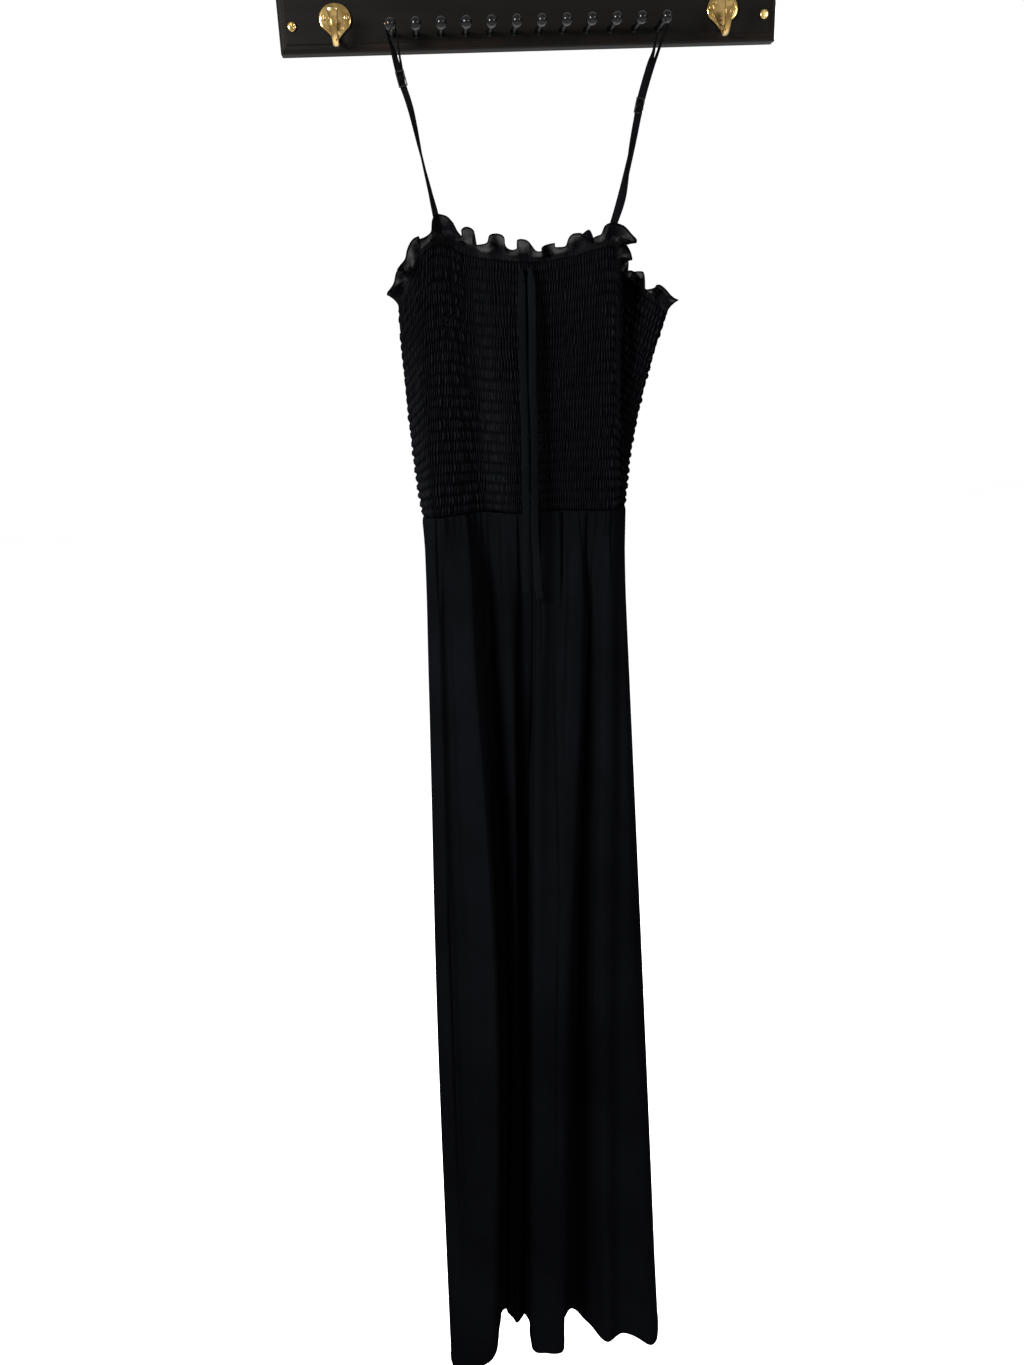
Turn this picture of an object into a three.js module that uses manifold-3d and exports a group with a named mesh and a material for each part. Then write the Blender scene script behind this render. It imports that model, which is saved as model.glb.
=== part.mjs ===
// Shirred jumpsuit with wide legs, hung by its straps from a wall peg rack.
// Millimetres, +Z up, +Y into the wall, the garment's front faces -Y.
// The origin is the centre of the rack board's back face.
// Right and left are the wearer's, so the right leg lies at negative X.
import * as THREE from "three";
import { mergeVertices } from "three/addons/utils/BufferGeometryUtils.js";
import Module from "manifold-3d";

const wasm = await Module();
wasm.setup();

// Driving dimensions of the cloth
const CLOTH = 1.2;
const SEAM_GAP = 0.3;
const WAIST_Z = -432;
const HIP_Z = -530;
const CROTCH_Z = -730;
const KNEE_Z = -1000;
const HEM_Z = -1500;
const LEG_GAP = 0.4;
const SHIRR_ROWS = 24;
const BODICE_STEPS = 2;
const SHIRR_PUFF = 1.7;
const SHIRR_PUFF_SMALL = 0.9;
const SEAM_PUFF = 0.1;
const FRILL_GAP = 0.4;
const FRILL_WALL = 1.0;
const FRILL_WAVE = 3.5;
const FRONT_WAVES = 13;
const BACK_WAVES = 12;

// Driving dimensions of the straps, the ties and the rack
const STRAP_WIDE = 5.5;
const STRAP_THICK = 1.2;
const STRAP_STEPS = 4;
const TIE_RADIUS = 2.6;
const BOARD_LONG = 437;
const BOARD_TALL = 60;
const BOARD_THICK = 18;
const EDGE_MOULDING = 5.5;
const PEG_COUNT = 12;
const FIRST_PEG_X = -121.2;
const LAST_PEG_X = 112.2;
const PEG_Z = -19;
const PEG_RADIUS = 2.2;
const PEG_KNOB_RADIUS = 4.9;
const PEG_KNOB_LONG = 14;
const PEG_REACH = 42;
const SCREW_RADIUS = 3.8;
const SCREW_X = 206.2;
const SCREW_Z = -10.6;
const HOOK_X = 168.8;
const HOOK_Z = -6.4;

const shades = {
  cloth: { color: 0x101216, roughness: 0.85, metalness: 0 },
  frill: { color: 0x191b20, roughness: 0.8, metalness: 0 },
  ribbon: { color: 0x0d0e11, roughness: 0.55, metalness: 0 },
  slider: { color: 0x0b0b0c, roughness: 0.3, metalness: 0 },
  wood: { color: 0x14120f, roughness: 0.45, metalness: 0 },
  peg: { color: 0x0a0a0a, roughness: 0.12, metalness: 0 },
  brass: { color: 0xc79a45, roughness: 0.22, metalness: 1 },
};

const jumpsuit = new THREE.Group();

function addPiece(name, geometry, shade) {
  const mesh = new THREE.Mesh(geometry, new THREE.MeshStandardMaterial(shades[shade]));
  mesh.name = name;
  jumpsuit.add(mesh);
  return mesh;
}

// Closed bodies from chains and sections of points

const mix = THREE.MathUtils.lerp;
const along = (a, b, x) => THREE.MathUtils.clamp((x - a) / (b - a), 0, 1);

function bodyOf(points, faces) {
  const geometry = new THREE.BufferGeometry();
  const places = points.flatMap((p) => [p.x, p.y, p.z]);
  geometry.setAttribute("position", new THREE.Float32BufferAttribute(places, 3));
  geometry.setIndex(faces.flat());
  return geometry;
}

// Triangles between two chains of point numbers, which may differ in length.
function stitch(a, b) {
  const faces = [];
  let i = 0;
  let j = 0;
  while (i < a.length - 1 || j < b.length - 1) {
    const nextA = (i + 1) / (a.length - 1);
    const nextB = (j + 1) / (b.length - 1);
    if (j < b.length - 1 && nextB <= nextA + 1e-9) {
      faces.push([a[i], b[j], b[j + 1]]);
      j += 1;
    } else {
      faces.push([a[i], b[j], a[i + 1]]);
      i += 1;
    }
  }
  return faces;
}

// A cloth wall between an outer and an inner grid of points, listed from the top row down.
// Each row runs with the inside of the garment on its left, seen from above.
function clothWall(outer, inner) {
  const points = [...outer.flat(), ...inner.flat()];
  const last = outer[0].length - 1;
  const number = (rows, start) => rows.map((row, j) => row.map((_, i) => start + j * row.length + i));
  const out = number(outer, 0);
  const back = number(inner, outer.length * outer[0].length);
  const faces = [];
  for (let j = 0; j < out.length - 1; j += 1) {
    faces.push(...stitch(out[j], out[j + 1]));
  }
  for (let j = 0; j < back.length - 1; j += 1) {
    faces.push(...stitch(back[j], back[j + 1]).map(([a, b, c]) => [a, c, b]));
  }
  faces.push(...stitch(back[0], out[0]));
  faces.push(...stitch(out.at(-1), back.at(-1)));
  faces.push(...stitch(out.map((row) => row[0]), back.map((row) => row[0])));
  faces.push(...stitch(back.map((row) => row[last]), out.map((row) => row[last])));
  return bodyOf(points, faces);
}

// A closed body through sections with the same number of points, capped at both ends.
function loft(sections) {
  const count = sections[0].length;
  const points = sections.flat();
  const faces = [];
  for (let s = 0; s < sections.length - 1; s += 1) {
    for (let i = 0; i < count; i += 1) {
      const a = s * count + i;
      const b = s * count + (i + 1) % count;
      faces.push([a, b, b + count], [a, b + count, a + count]);
    }
  }
  const end = (sections.length - 1) * count;
  for (let i = 1; i < count - 1; i += 1) {
    faces.push([0, i + 1, i], [end, end + i, end + i + 1]);
  }
  return bodyOf(points, faces);
}

function toManifold(geometry) {
  const bare = geometry.clone();
  bare.deleteAttribute("normal");
  bare.deleteAttribute("uv");
  const merged = mergeVertices(bare, 1e-4);
  const vertProperties = new Float32Array(merged.attributes.position.array);
  const triVerts = new Uint32Array(merged.index.array);
  return new wasm.Manifold(new wasm.Mesh({ numProp: 3, vertProperties, triVerts }));
}

function fromManifold(solid) {
  const { vertProperties, triVerts } = solid.getMesh();
  const geometry = new THREE.BufferGeometry();
  geometry.setAttribute("position", new THREE.Float32BufferAttribute(vertProperties, 3));
  geometry.setIndex(Array.from(triVerts));
  return geometry;
}

// Folds of the bodice, one row for each fold line that runs from the top edge to the waist.
// "bow" is how far the line bends along X at half its height.
const BODICE_FRONT = [
  { fold: "right side seam", topX: -131, topY: -45, topZ: -241, waistX: -121, waistY: -45, bow: -2.7 },
  { fold: "right side face", topX: -118, topY: -56, topZ: -220, waistX: -117, waistY: -55, bow: -2.2 },
  { fold: "right strap ridge", topX: -99, topY: -61, topZ: -192, waistX: -110, waistY: -61, bow: -1 },
  { fold: "right face", topX: -86, topY: -58, topZ: -190, waistX: -88, waistY: -52, bow: 0 },
  { fold: "right valley", topX: -70, topY: -52, topZ: -198, waistX: -62, waistY: -37, bow: 0 },
  { fold: "inner ridge", topX: -44, topY: -62, topZ: -204, waistX: -33, waistY: -59, bow: 0 },
  { fold: "centre front", topX: -16, topY: -62, topZ: -207, waistX: -16, waistY: -57, bow: 0 },
  { fold: "centre valley", topX: 2, topY: -57, topZ: -207, waistX: 1, waistY: -50, bow: 0 },
  { fold: "left face", topX: 32, topY: -63, topZ: -203, waistX: 32, waistY: -60, bow: 0 },
  { fold: "left strap ridge", topX: 62, topY: -65, topZ: -197, waistX: 60, waistY: -66, bow: 0 },
  { fold: "left valley wall", topX: 68.5, topY: -43, topZ: -207, waistX: 66, waistY: -54, bow: 0 },
  { fold: "left valley", topX: 81, topY: -24, topZ: -224, waistX: 70, waistY: -46, bow: -2 },
  { fold: "left side ridge", topX: 103, topY: -42, topZ: -244, waistX: 74, waistY: -44, bow: -6 },
];
const BODICE_BACK = [
  { fold: "left side seam", topX: 118, topY: -39, topZ: -256, waistX: 77, waistY: -39, bow: -6.5 },
  { fold: "left back ridge", topX: 110, topY: -26, topZ: -252, waistX: 74, waistY: -31, bow: -6.5 },
  { fold: "left back flat", topX: 82, topY: -9, topZ: -228, waistX: 60, waistY: -21, bow: -4 },
  { fold: "left back strap", topX: 56, topY: -20, topZ: -196, waistX: 42, waistY: -30, bow: -2 },
  { fold: "left back valley", topX: 24, topY: -36, topZ: -222, waistX: 12, waistY: -36, bow: 0 },
  { fold: "centre back", topX: -14, topY: -24, topZ: -232, waistX: -22, waistY: -24, bow: 0 },
  { fold: "right back valley", topX: -48, topY: -34, topZ: -222, waistX: -52, waistY: -21, bow: 0 },
  { fold: "right back strap", topX: -86, topY: -26, topZ: -196, waistX: -84, waistY: -24, bow: 0 },
  { fold: "right back flat", topX: -112, topY: -30, topZ: -222, waistX: -110, waistY: -33, bow: -2.2 },
];

// Folds of the trouser panels. "at" is the place on the waist seam, as a share of that panel's
// stretch of it, hip, knee and hem are X and Y there, and "drop" is how far the fold's hem hangs
// below HEM_Z.
const LEG_FRONT_RIGHT = [
  { fold: "side seam", at: 0, hip: [-124, -45], knee: [-145, -47], hem: [-160, -50], drop: 40 },
  { fold: "side ridge", at: 0.09, hip: [-114, -59], knee: [-131, -68], hem: [-149, -77], drop: 34 },
  { fold: "crease", at: 0.18, hip: [-105, -56], knee: [-117, -66], hem: [-132, -84], drop: 24 },
  { fold: "face", at: 0.3, hip: [-92, -63], knee: [-98, -78], hem: [-115, -90], drop: 8 },
  { fold: "ridge", at: 0.4, hip: [-79, -66], knee: [-78, -85], hem: [-99, -84], drop: -8 },
  { fold: "ridge wall", at: 0.5, hip: [-72, -47], knee: [-74, -44], hem: [-92, -38], drop: -4 },
  { fold: "recess", at: 0.58, hip: [-63, -35], knee: [-64, -23], hem: [-83, -19], drop: 0 },
  { fold: "small ridge", at: 0.78, hip: [-40, -51], knee: [-51, -46], hem: [-71, -40], drop: 2 },
  { fold: "inner recess", at: 0.93, hip: [-27, -44], knee: [-39.5, -29], hem: [-60, -27], drop: 1 },
];
const LEG_BACK_RIGHT = [
  { fold: "inner ridge", at: 0.08, hip: [-26, -25], knee: [-39.5, -12], hem: [-60, -9], drop: 1 },
  { fold: "inner valley", at: 0.28, hip: [-46, -31], knee: [-53, -24], hem: [-72, -22], drop: 4 },
  { fold: "back ridge", at: 0.48, hip: [-66, -20], knee: [-68, -10], hem: [-88, -6], drop: 8 },
  { fold: "back valley", at: 0.68, hip: [-88, -35], knee: [-92, -44], hem: [-114, -48], drop: 18 },
  { fold: "side ridge", at: 0.88, hip: [-111, -30], knee: [-124, -24], hem: [-142, -22], drop: 30 },
];
const LEG_FRONT_LEFT = [
  { fold: "inner wall", at: 0.05, hip: [-15, -56], knee: [-33.5, -44], hem: [-54.5, -42], drop: 0 },
  { fold: "inner ridge", at: 0.12, hip: [-15, -69], knee: [-33, -82], hem: [-53, -80], drop: 0 },
  { fold: "face", at: 0.26, hip: [7, -68], knee: [-13, -86], hem: [-35, -88], drop: 0 },
  { fold: "middle ridge", at: 0.4, hip: [29, -70], knee: [3, -84], hem: [-16, -86], drop: 2 },
  { fold: "ridge wall", at: 0.5, hip: [33, -60], knee: [10, -54], hem: [-10, -44], drop: 0 },
  { fold: "recess", at: 0.58, hip: [38, -56], knee: [20, -40], hem: [3, -28], drop: 0 },
  { fold: "outer wall", at: 0.66, hip: [43, -62], knee: [28, -58], hem: [21, -48], drop: 0 },
  { fold: "outer ridge", at: 0.75, hip: [53, -69], knee: [43, -75], hem: [44, -78], drop: 2 },
  { fold: "dip", at: 0.84, hip: [62, -66], knee: [62, -70], hem: [65, -69], drop: 0 },
  { fold: "side ridge", at: 0.93, hip: [72, -57], knee: [85.5, -66], hem: [100, -82], drop: 8 },
];
const LEG_BACK_LEFT = [
  { fold: "side seam", at: 0, hip: [77, -45], knee: [94.5, -46], hem: [116, -44], drop: 12 },
  { fold: "side ridge", at: 0.15, hip: [68, -30], knee: [77, -24], hem: [93, -17], drop: 8 },
  { fold: "outer valley", at: 0.36, hip: [52, -37], knee: [54, -40], hem: [60, -38], drop: 2 },
  { fold: "back ridge", at: 0.58, hip: [34, -25], knee: [20, -13], hem: [6, -10], drop: 0 },
  { fold: "inner valley", at: 0.8, hip: [10, -38], knee: [-12, -46], hem: [-33, -50], drop: 0 },
  { fold: "inner ridge", at: 0.94, hip: [-9, -30], knee: [-31, -13], hem: [-52, -10], drop: 0 },
];
// The seam between the legs: centre front and centre back down to the crotch, inside leg below.
const CENTRE = { hipX: -19, crotchX: -25, kneeX: -36.5, hemX: -57.5 };
const CENTRE_FRONT_Y = { hip: -49, crotch: -30, knee: -20, hem: -18 };
const CENTRE_BACK_Y = { hip: -26, crotch: -30, knee: -20, hem: -18 };
const LEG_LEVELS = [
  -450, -480, -530, -610, CROTCH_Z + 40, CROTCH_Z + 10, CROTCH_Z - 14, -840, -960, -1100, -1250, -1390, HEM_Z,
];

// A smooth curve through a closed or open row of points, with known neighbours at its ends.
function curveThrough(points, before, after) {
  return new THREE.CatmullRomCurve3([before, ...points, after], false, "centripetal");
}

// Outer points of one level: "steps" to each stretch between two folds, parted from the
// neighbouring panels by half a seam gap at both ends.
function levelPoints(points, before, after, steps) {
  const curve = curveThrough(points, before, after);
  const spans = points.length + 1;
  const count = (points.length - 1) * steps;
  const row = [];
  for (let i = 0; i <= count; i += 1) {
    const t = (1 + i / steps) / spans;
    const point = curve.getPoint(t);
    const heading = curve.getTangent(t).setZ(0).normalize();
    if (i === 0) point.addScaledVector(heading, SEAM_GAP / 2);
    if (i === count) point.addScaledVector(heading, -SEAM_GAP / 2);
    row.push({ point, inward: new THREE.Vector3(-heading.y, heading.x, 0) });
  }
  return row;
}

const offsetRow = (row, depth, lift = 0) =>
  row.map(({ point, inward }) => point.clone().addScaledVector(inward, depth).setZ(point.z + lift));

// Bodice

function bodicePoints(folds, v) {
  return folds.map((row) => new THREE.Vector3(
    mix(row.topX, row.waistX, v) + 4 * v * (1 - v) * row.bow,
    mix(row.topY, row.waistY, v),
    mix(row.topZ, WAIST_Z, v),
  ));
}

function bodiceLevel(side, v, steps) {
  const front = bodicePoints(BODICE_FRONT, v);
  const back = bodicePoints(BODICE_BACK, v);
  return side === "front"
    ? levelPoints([...front, back[0]], back.at(-1), back[1], steps)
    : levelPoints([...back, front[0]], front.at(-1), front[1], steps);
}

function bodicePanel(side) {
  const outer = [];
  for (let j = 0; j <= 2 * SHIRR_ROWS; j += 1) {
    const row = bodiceLevel(side, j / (2 * SHIRR_ROWS), BODICE_STEPS);
    const between = j % 2 === 1;
    outer.push(row.map(({ point, inward }, i) => {
      const big = (i + (j - 1) / 2) % 2 === 0;
      const puff = between ? (big ? SHIRR_PUFF : SHIRR_PUFF_SMALL) : 0;
      const atSeam = i === 0 || i === row.length - 1;
      return point.clone().addScaledVector(inward, atSeam ? -SEAM_PUFF : -puff);
    }));
  }
  const innerLevels = 12;
  const inner = [];
  for (let j = 0; j <= innerLevels; j += 1) {
    inner.push(offsetRow(bodiceLevel(side, j / innerLevels, BODICE_STEPS), CLOTH));
  }
  return clothWall(outer, inner);
}

addPiece("bodice_front", bodicePanel("front"), "cloth");
addPiece("bodice_back", bodicePanel("back"), "cloth");

// Frill, a strip that stands on the bodice's top edge and waves outwards
// "share" is the place along the panel's top edge, "tall" and "flare" the strip's height and lean.
const FRILL_FRONT = [
  { share: 0, tall: 15, flare: 9 },
  { share: 0.09, tall: 19, flare: 14 },
  { share: 0.18, tall: 17, flare: 9 },
  { share: 0.25, tall: 23, flare: 7 },
  { share: 0.34, tall: 18, flare: 7 },
  { share: 0.5, tall: 14, flare: 6 },
  { share: 0.66, tall: 16, flare: 8 },
  { share: 0.73, tall: 16, flare: 15 },
  { share: 0.79, tall: 16, flare: 9 },
  { share: 0.84, tall: 15, flare: 3 },
  { share: 0.92, tall: 16, flare: 8 },
  { share: 1, tall: 16, flare: 10 },
];
const FRILL_BACK = [
  { share: 0, tall: 16, flare: 10 },
  { share: 0.5, tall: 16, flare: 8 },
  { share: 1, tall: 15, flare: 9 },
];

function tableAt(table, share, column) {
  const k = Math.max(1, table.findIndex((row) => row.share >= share));
  const [a, b] = [table[k - 1], table[k]];
  return THREE.MathUtils.mapLinear(share, a.share, b.share, a[column], b[column]);
}

// Points between those of the bodice's top row, so that the frill's foot lies along it.
function frillFoot(side, between) {
  const base = bodiceLevel(side, 0, BODICE_STEPS);
  const foot = [];
  let run = 0;
  for (let k = 0; k < base.length - 1; k += 1) {
    const [a, b] = [base[k], base[k + 1]];
    for (let m = 0; m < between; m += 1) {
      const share = m / between;
      foot.push({
        point: a.point.clone().lerp(b.point, share),
        inward: a.inward.clone().lerp(b.inward, share),
        run: run + share * a.point.distanceTo(b.point),
      });
    }
    run += a.point.distanceTo(b.point);
  }
  foot.push({ ...base.at(-1), run });
  return foot.map((step) => ({ ...step, share: step.run / run }));
}

function frillPanel(side, waves, shape) {
  const levels = [0, 0.45, 1];
  const outer = levels.map(() => []);
  const foot = frillFoot(side, 3);
  for (const { point, inward, share } of foot) {
    const phase = 2 * Math.PI * waves * share + 0.9 * Math.sin(2 * Math.PI * 2.3 * share);
    const ends = Math.min(1, 8 * Math.min(share, 1 - share));
    const tall = tableAt(shape, share, "tall");
    const flare = tableAt(shape, share, "flare");
    levels.forEach((level, j) => {
      const swing = FRILL_WAVE * level * ends * Math.sin(phase);
      const rise = tall * level * (1 - 0.16 * Math.cos(phase) * ends);
      const edge = point.clone()
        .addScaledVector(inward, -flare * level * level - swing)
        .setZ(point.z + FRILL_GAP + rise);
      outer[j].push(edge);
    });
  }
  const inner = outer.map((row) => row.map((point, i) => {
    if (i === 0 || i === row.length - 1) return point.clone().addScaledVector(foot[i].inward, FRILL_WALL);
    const run = row[i + 1].clone().sub(row[i - 1]).setZ(0).normalize();
    return point.clone().add(new THREE.Vector3(-run.y, run.x, 0).multiplyScalar(FRILL_WALL));
  }));
  return clothWall(outer.reverse(), inner.reverse());
}

addPiece("frill_front", frillPanel("front", FRONT_WAVES, FRILL_FRONT), "frill");
addPiece("frill_back", frillPanel("back", BACK_WAVES, FRILL_BACK), "frill");

// Trouser legs

// A smooth value at height z through stations listed from the top down.
function through(stations, z) {
  const last = stations.length - 1;
  let k = 0;
  while (k < last - 1 && z < stations[k + 1][0]) k += 1;
  const slope = (i) => {
    const a = stations[Math.max(0, i - 1)];
    const b = stations[Math.min(last, i + 1)];
    return (b[1] - a[1]) / (b[0] - a[0]);
  };
  const [z0, p0] = stations[k];
  const [z1, p1] = stations[k + 1];
  const h = z1 - z0;
  const t = (z - z0) / h;
  const t2 = t * t;
  const t3 = t2 * t;
  return p0 * (2 * t3 - 3 * t2 + 1) + slope(k) * h * (t3 - 2 * t2 + t)
    + p1 * (3 * t2 - 2 * t3) + slope(k + 1) * h * (t3 - t2);
}

// Waist seam of one side as an arc-length curve, parted at the centre fold.
function waistCurve(side) {
  const points = bodiceLevel(side, 1, 8).map((b) => b.point);
  const curve = new THREE.CatmullRomCurve3(points, false, "centripetal");
  curve.arcLengthDivisions = 800;
  return curve;
}
const waist = { front: waistCurve("front"), back: waistCurve("back") };

function shareAtX(curve, x, from, to) {
  let low = from;
  let high = to;
  const rising = curve.getPointAt(to).x > curve.getPointAt(from).x;
  for (let i = 0; i < 40; i += 1) {
    const middle = (low + high) / 2;
    if ((curve.getPointAt(middle).x < x) === rising) low = middle;
    else high = middle;
  }
  return (low + high) / 2;
}
const CENTRE_WAIST_X = -16;
const centreShare = {
  front: shareAtX(waist.front, CENTRE_WAIST_X, 0, 0.8),
  back: shareAtX(waist.back, CENTRE_WAIST_X, 0.2, 1),
};

// The stretch of waist seam that a panel is sewn to, as shares of the side's whole seam.
const stretch = {
  frontRight: { side: "front", from: 0, to: centreShare.front },
  frontLeft: { side: "front", from: centreShare.front, to: 1 },
  backLeft: { side: "back", from: 0, to: centreShare.back },
  backRight: { side: "back", from: centreShare.back, to: 1 },
};

const clampedWaist = (side, share) => waist[side].getPointAt(THREE.MathUtils.clamp(share, 0, 1));

function foldPoint(row, part, z) {
  const { side, from, to } = stretch[part];
  const seam = clampedWaist(side, mix(from, to, row.at));
  const fall = along(WAIST_Z, HEM_Z, z);
  return new THREE.Vector3(
    through([[WAIST_Z, seam.x], [HIP_Z, row.hip[0]], [KNEE_Z, row.knee[0]], [HEM_Z, row.hem[0]]], z),
    through([[WAIST_Z, seam.y], [HIP_Z, row.hip[1]], [KNEE_Z, row.knee[1]], [HEM_Z, row.hem[1]]], z),
    z - row.drop * fall * fall,
  );
}

function centrePoint(side, z) {
  const seam = clampedWaist(side, centreShare[side]);
  const depth = side === "front" ? CENTRE_FRONT_Y : CENTRE_BACK_Y;
  return new THREE.Vector3(
    through([[WAIST_Z, seam.x], [HIP_Z, CENTRE.hipX], [CROTCH_Z, CENTRE.crotchX], [KNEE_Z, CENTRE.kneeX],
      [HEM_Z, CENTRE.hemX]], z),
    through([[WAIST_Z, seam.y], [HIP_Z, depth.hip], [CROTCH_Z, depth.crotch], [KNEE_Z, depth.knee],
      [HEM_Z, depth.hem]], z),
    z,
  );
}

// Fold points of one panel at one height, in the order of its ring, and its end neighbours.
function legRow(part, z) {
  const points = (folds, name) => folds.map((row) => foldPoint(row, name, z));
  const below = z < CROTCH_Z;
  const turned = along(CROTCH_Z + 90, CROTCH_Z, z);
  const parted = LEG_GAP * (1 + along(CROTCH_Z + 60, CROTCH_Z - 200, z));
  const shift = (point, dx) => point.clone().setX(point.x + dx);
  const centreFront = centrePoint("front", z);
  const centreBack = centrePoint(below ? "front" : "back", z);
  const right = { front: points(LEG_FRONT_RIGHT, "frontRight"), back: points(LEG_BACK_RIGHT, "backRight") };
  const left = { front: points(LEG_FRONT_LEFT, "frontLeft"), back: points(LEG_BACK_LEFT, "backLeft") };
  const blend = (a, b) => a.clone().lerp(b, turned);
  if (part === "frontRight") {
    return {
      points: [...right.front, shift(centreFront, -parted / 2)],
      before: right.back.at(-1),
      after: blend(left.front[0], right.back[0]),
    };
  }
  if (part === "backRight") {
    return {
      points: [shift(centreBack, -parted / 2), ...right.back, right.front[0]],
      before: blend(left.back.at(-1), right.front.at(-1)),
      after: right.front[1],
    };
  }
  if (part === "frontLeft") {
    return {
      points: [shift(centreFront, parted / 2), ...left.front, left.back[0]],
      before: blend(right.front.at(-1), left.back.at(-1)),
      after: left.back[1],
    };
  }
  return {
    points: [...left.back, shift(centreBack, parted / 2)],
    before: left.front.at(-1),
    after: blend(right.back[0], left.front[0]),
  };
}

function legPanel(part) {
  const steps = 2;
  const outer = [];
  const inner = [];
  for (const z of [WAIST_Z, ...LEG_LEVELS]) {
    const { points, before, after } = legRow(part, z);
    const row = levelPoints(points, before, after, steps);
    const lift = z === WAIST_Z ? -SEAM_GAP : 0;
    outer.push(offsetRow(row, 0, lift));
    inner.push(offsetRow(row, CLOTH, lift));
  }
  return clothWall(outer, inner);
}

addPiece("leg_front_right", legPanel("frontRight"), "cloth");
addPiece("leg_front_left", legPanel("frontLeft"), "cloth");
addPiece("leg_back_right", legPanel("backRight"), "cloth");
addPiece("leg_back_left", legPanel("backLeft"), "cloth");

// Straps, flat ribbons from inside the front edge over a peg to inside the back edge.
// "turn" is the ribbon's width direction in degrees, 0 with its face to the front.
const STRAP_RIGHT = [
  { x: -89.5, y: -55.6, z: -200, turn: 0 },
  { x: -91, y: -55.4, z: -176, turn: 0 },
  { x: -95.5, y: -54.5, z: -150, turn: 55 },
  { x: -101.5, y: -53, z: -120, turn: 80 },
  { x: -109, y: -51, z: -80, turn: 25 },
  { x: -115.6, y: -49.5, z: -58, turn: 0 },
  { x: -120, y: -46, z: -38, turn: 45 },
  { x: -124.6, y: -43, z: -19, turn: 90 },
  { x: -121.2, y: -43, z: -15.6, turn: 90 },
  { x: -117.8, y: -43, z: -19, turn: 90 },
  { x: -115, y: -40.5, z: -42, turn: 100 },
  { x: -112.6, y: -38.5, z: -63, turn: 110 },
  { x: -105.2, y: -36, z: -99, turn: 95 },
  { x: -97.6, y: -33, z: -137, turn: 100 },
  { x: -90.5, y: -30.6, z: -173, turn: 160 },
  { x: -86, y: -29.6, z: -203, turn: 180 },
];
const STRAP_LEFT = [
  { x: 56.5, y: -61.8, z: -206, turn: 0 },
  { x: 60, y: -60.8, z: -190, turn: 0 },
  { x: 66.5, y: -59, z: -176, turn: 0 },
  { x: 73.5, y: -56.7, z: -158, turn: 10 },
  { x: 80, y: -54, z: -125, turn: 60 },
  { x: 86.5, y: -51, z: -98, turn: 6 },
  { x: 90.5, y: -50, z: -79, turn: 0 },
  { x: 98.5, y: -47.5, z: -55, turn: 15 },
  { x: 102.6, y: -45, z: -44, turn: 60 },
  { x: 108.8, y: -43, z: -19, turn: 90 },
  { x: 112.2, y: -43, z: -15.6, turn: 90 },
  { x: 115.6, y: -43, z: -19, turn: 90 },
  { x: 108.6, y: -41, z: -39, turn: 100 },
  { x: 102, y: -39.8, z: -56, turn: 110 },
  { x: 94.5, y: -38, z: -79, turn: 120 },
  { x: 85.6, y: -34.6, z: -117, turn: 130 },
  { x: 75, y: -29.6, z: -158, turn: 160 },
  { x: 60, y: -24.6, z: -204, turn: 180 },
];

function ribbon(route) {
  const knots = route.map((p) => new THREE.Vector3(p.x, p.y, p.z));
  const curve = new THREE.CatmullRomCurve3(knots, false, "centripetal");
  const steps = STRAP_STEPS * (route.length - 1);
  const sections = [];
  for (let i = 0; i <= steps; i += 1) {
    const t = i / steps;
    const k = Math.min(route.length - 2, Math.floor(i / STRAP_STEPS));
    const turn = THREE.MathUtils.degToRad(mix(route[k].turn, route[k + 1].turn, i / STRAP_STEPS - k));
    const centre = curve.getPoint(t);
    const tangent = curve.getTangent(t);
    const wide = new THREE.Vector3(Math.cos(turn), Math.sin(turn), 0);
    wide.addScaledVector(tangent, -wide.dot(tangent)).normalize();
    const thick = new THREE.Vector3().crossVectors(tangent, wide);
    const corner = (a, b) => centre.clone()
      .addScaledVector(wide, a * STRAP_WIDE / 2)
      .addScaledVector(thick, b * STRAP_THICK / 2);
    sections.push([corner(-1, -1), corner(1, -1), corner(1, 1), corner(-1, 1)]);
  }
  return loft(sections);
}

addPiece("strap_right", ribbon(STRAP_RIGHT), "ribbon");
addPiece("strap_left", ribbon(STRAP_LEFT), "ribbon");

// Sliders, flat plastic loops round the strap, closed by the bar that the strap runs over
function slider(place, lean) {
  const wide = 7.8;
  const tall = 12.4;
  const bar = 1;
  const frame = new THREE.Shape();
  frame.moveTo(-wide / 2, -tall / 2);
  frame.lineTo(wide / 2, -tall / 2);
  frame.lineTo(wide / 2, tall / 2);
  frame.lineTo(-wide / 2, tall / 2);
  frame.closePath();
  const slot = (low, high) => {
    const hole = new THREE.Path();
    hole.moveTo(-wide / 2 + bar, low);
    hole.lineTo(-wide / 2 + bar, high);
    hole.lineTo(wide / 2 - bar, high);
    hole.lineTo(wide / 2 - bar, low);
    hole.closePath();
    return hole;
  };
  frame.holes.push(slot(-tall / 2 + bar, -bar / 2), slot(bar / 2, tall / 2 - bar));
  const geometry = new THREE.ExtrudeGeometry(frame, { depth: 1.4, bevelEnabled: false, curveSegments: 4 });
  geometry.rotateX(Math.PI / 2);
  geometry.rotateY(THREE.MathUtils.degToRad(lean));
  geometry.translate(place.x, place.y, place.z);
  return geometry;
}

addPiece("slider_right", slider({ x: -114.8, y: -51.3, z: -59 }, -13), "slider");
addPiece("slider_left", slider({ x: 89.2, y: -51.9, z: -85 }, 13), "slider");

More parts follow.
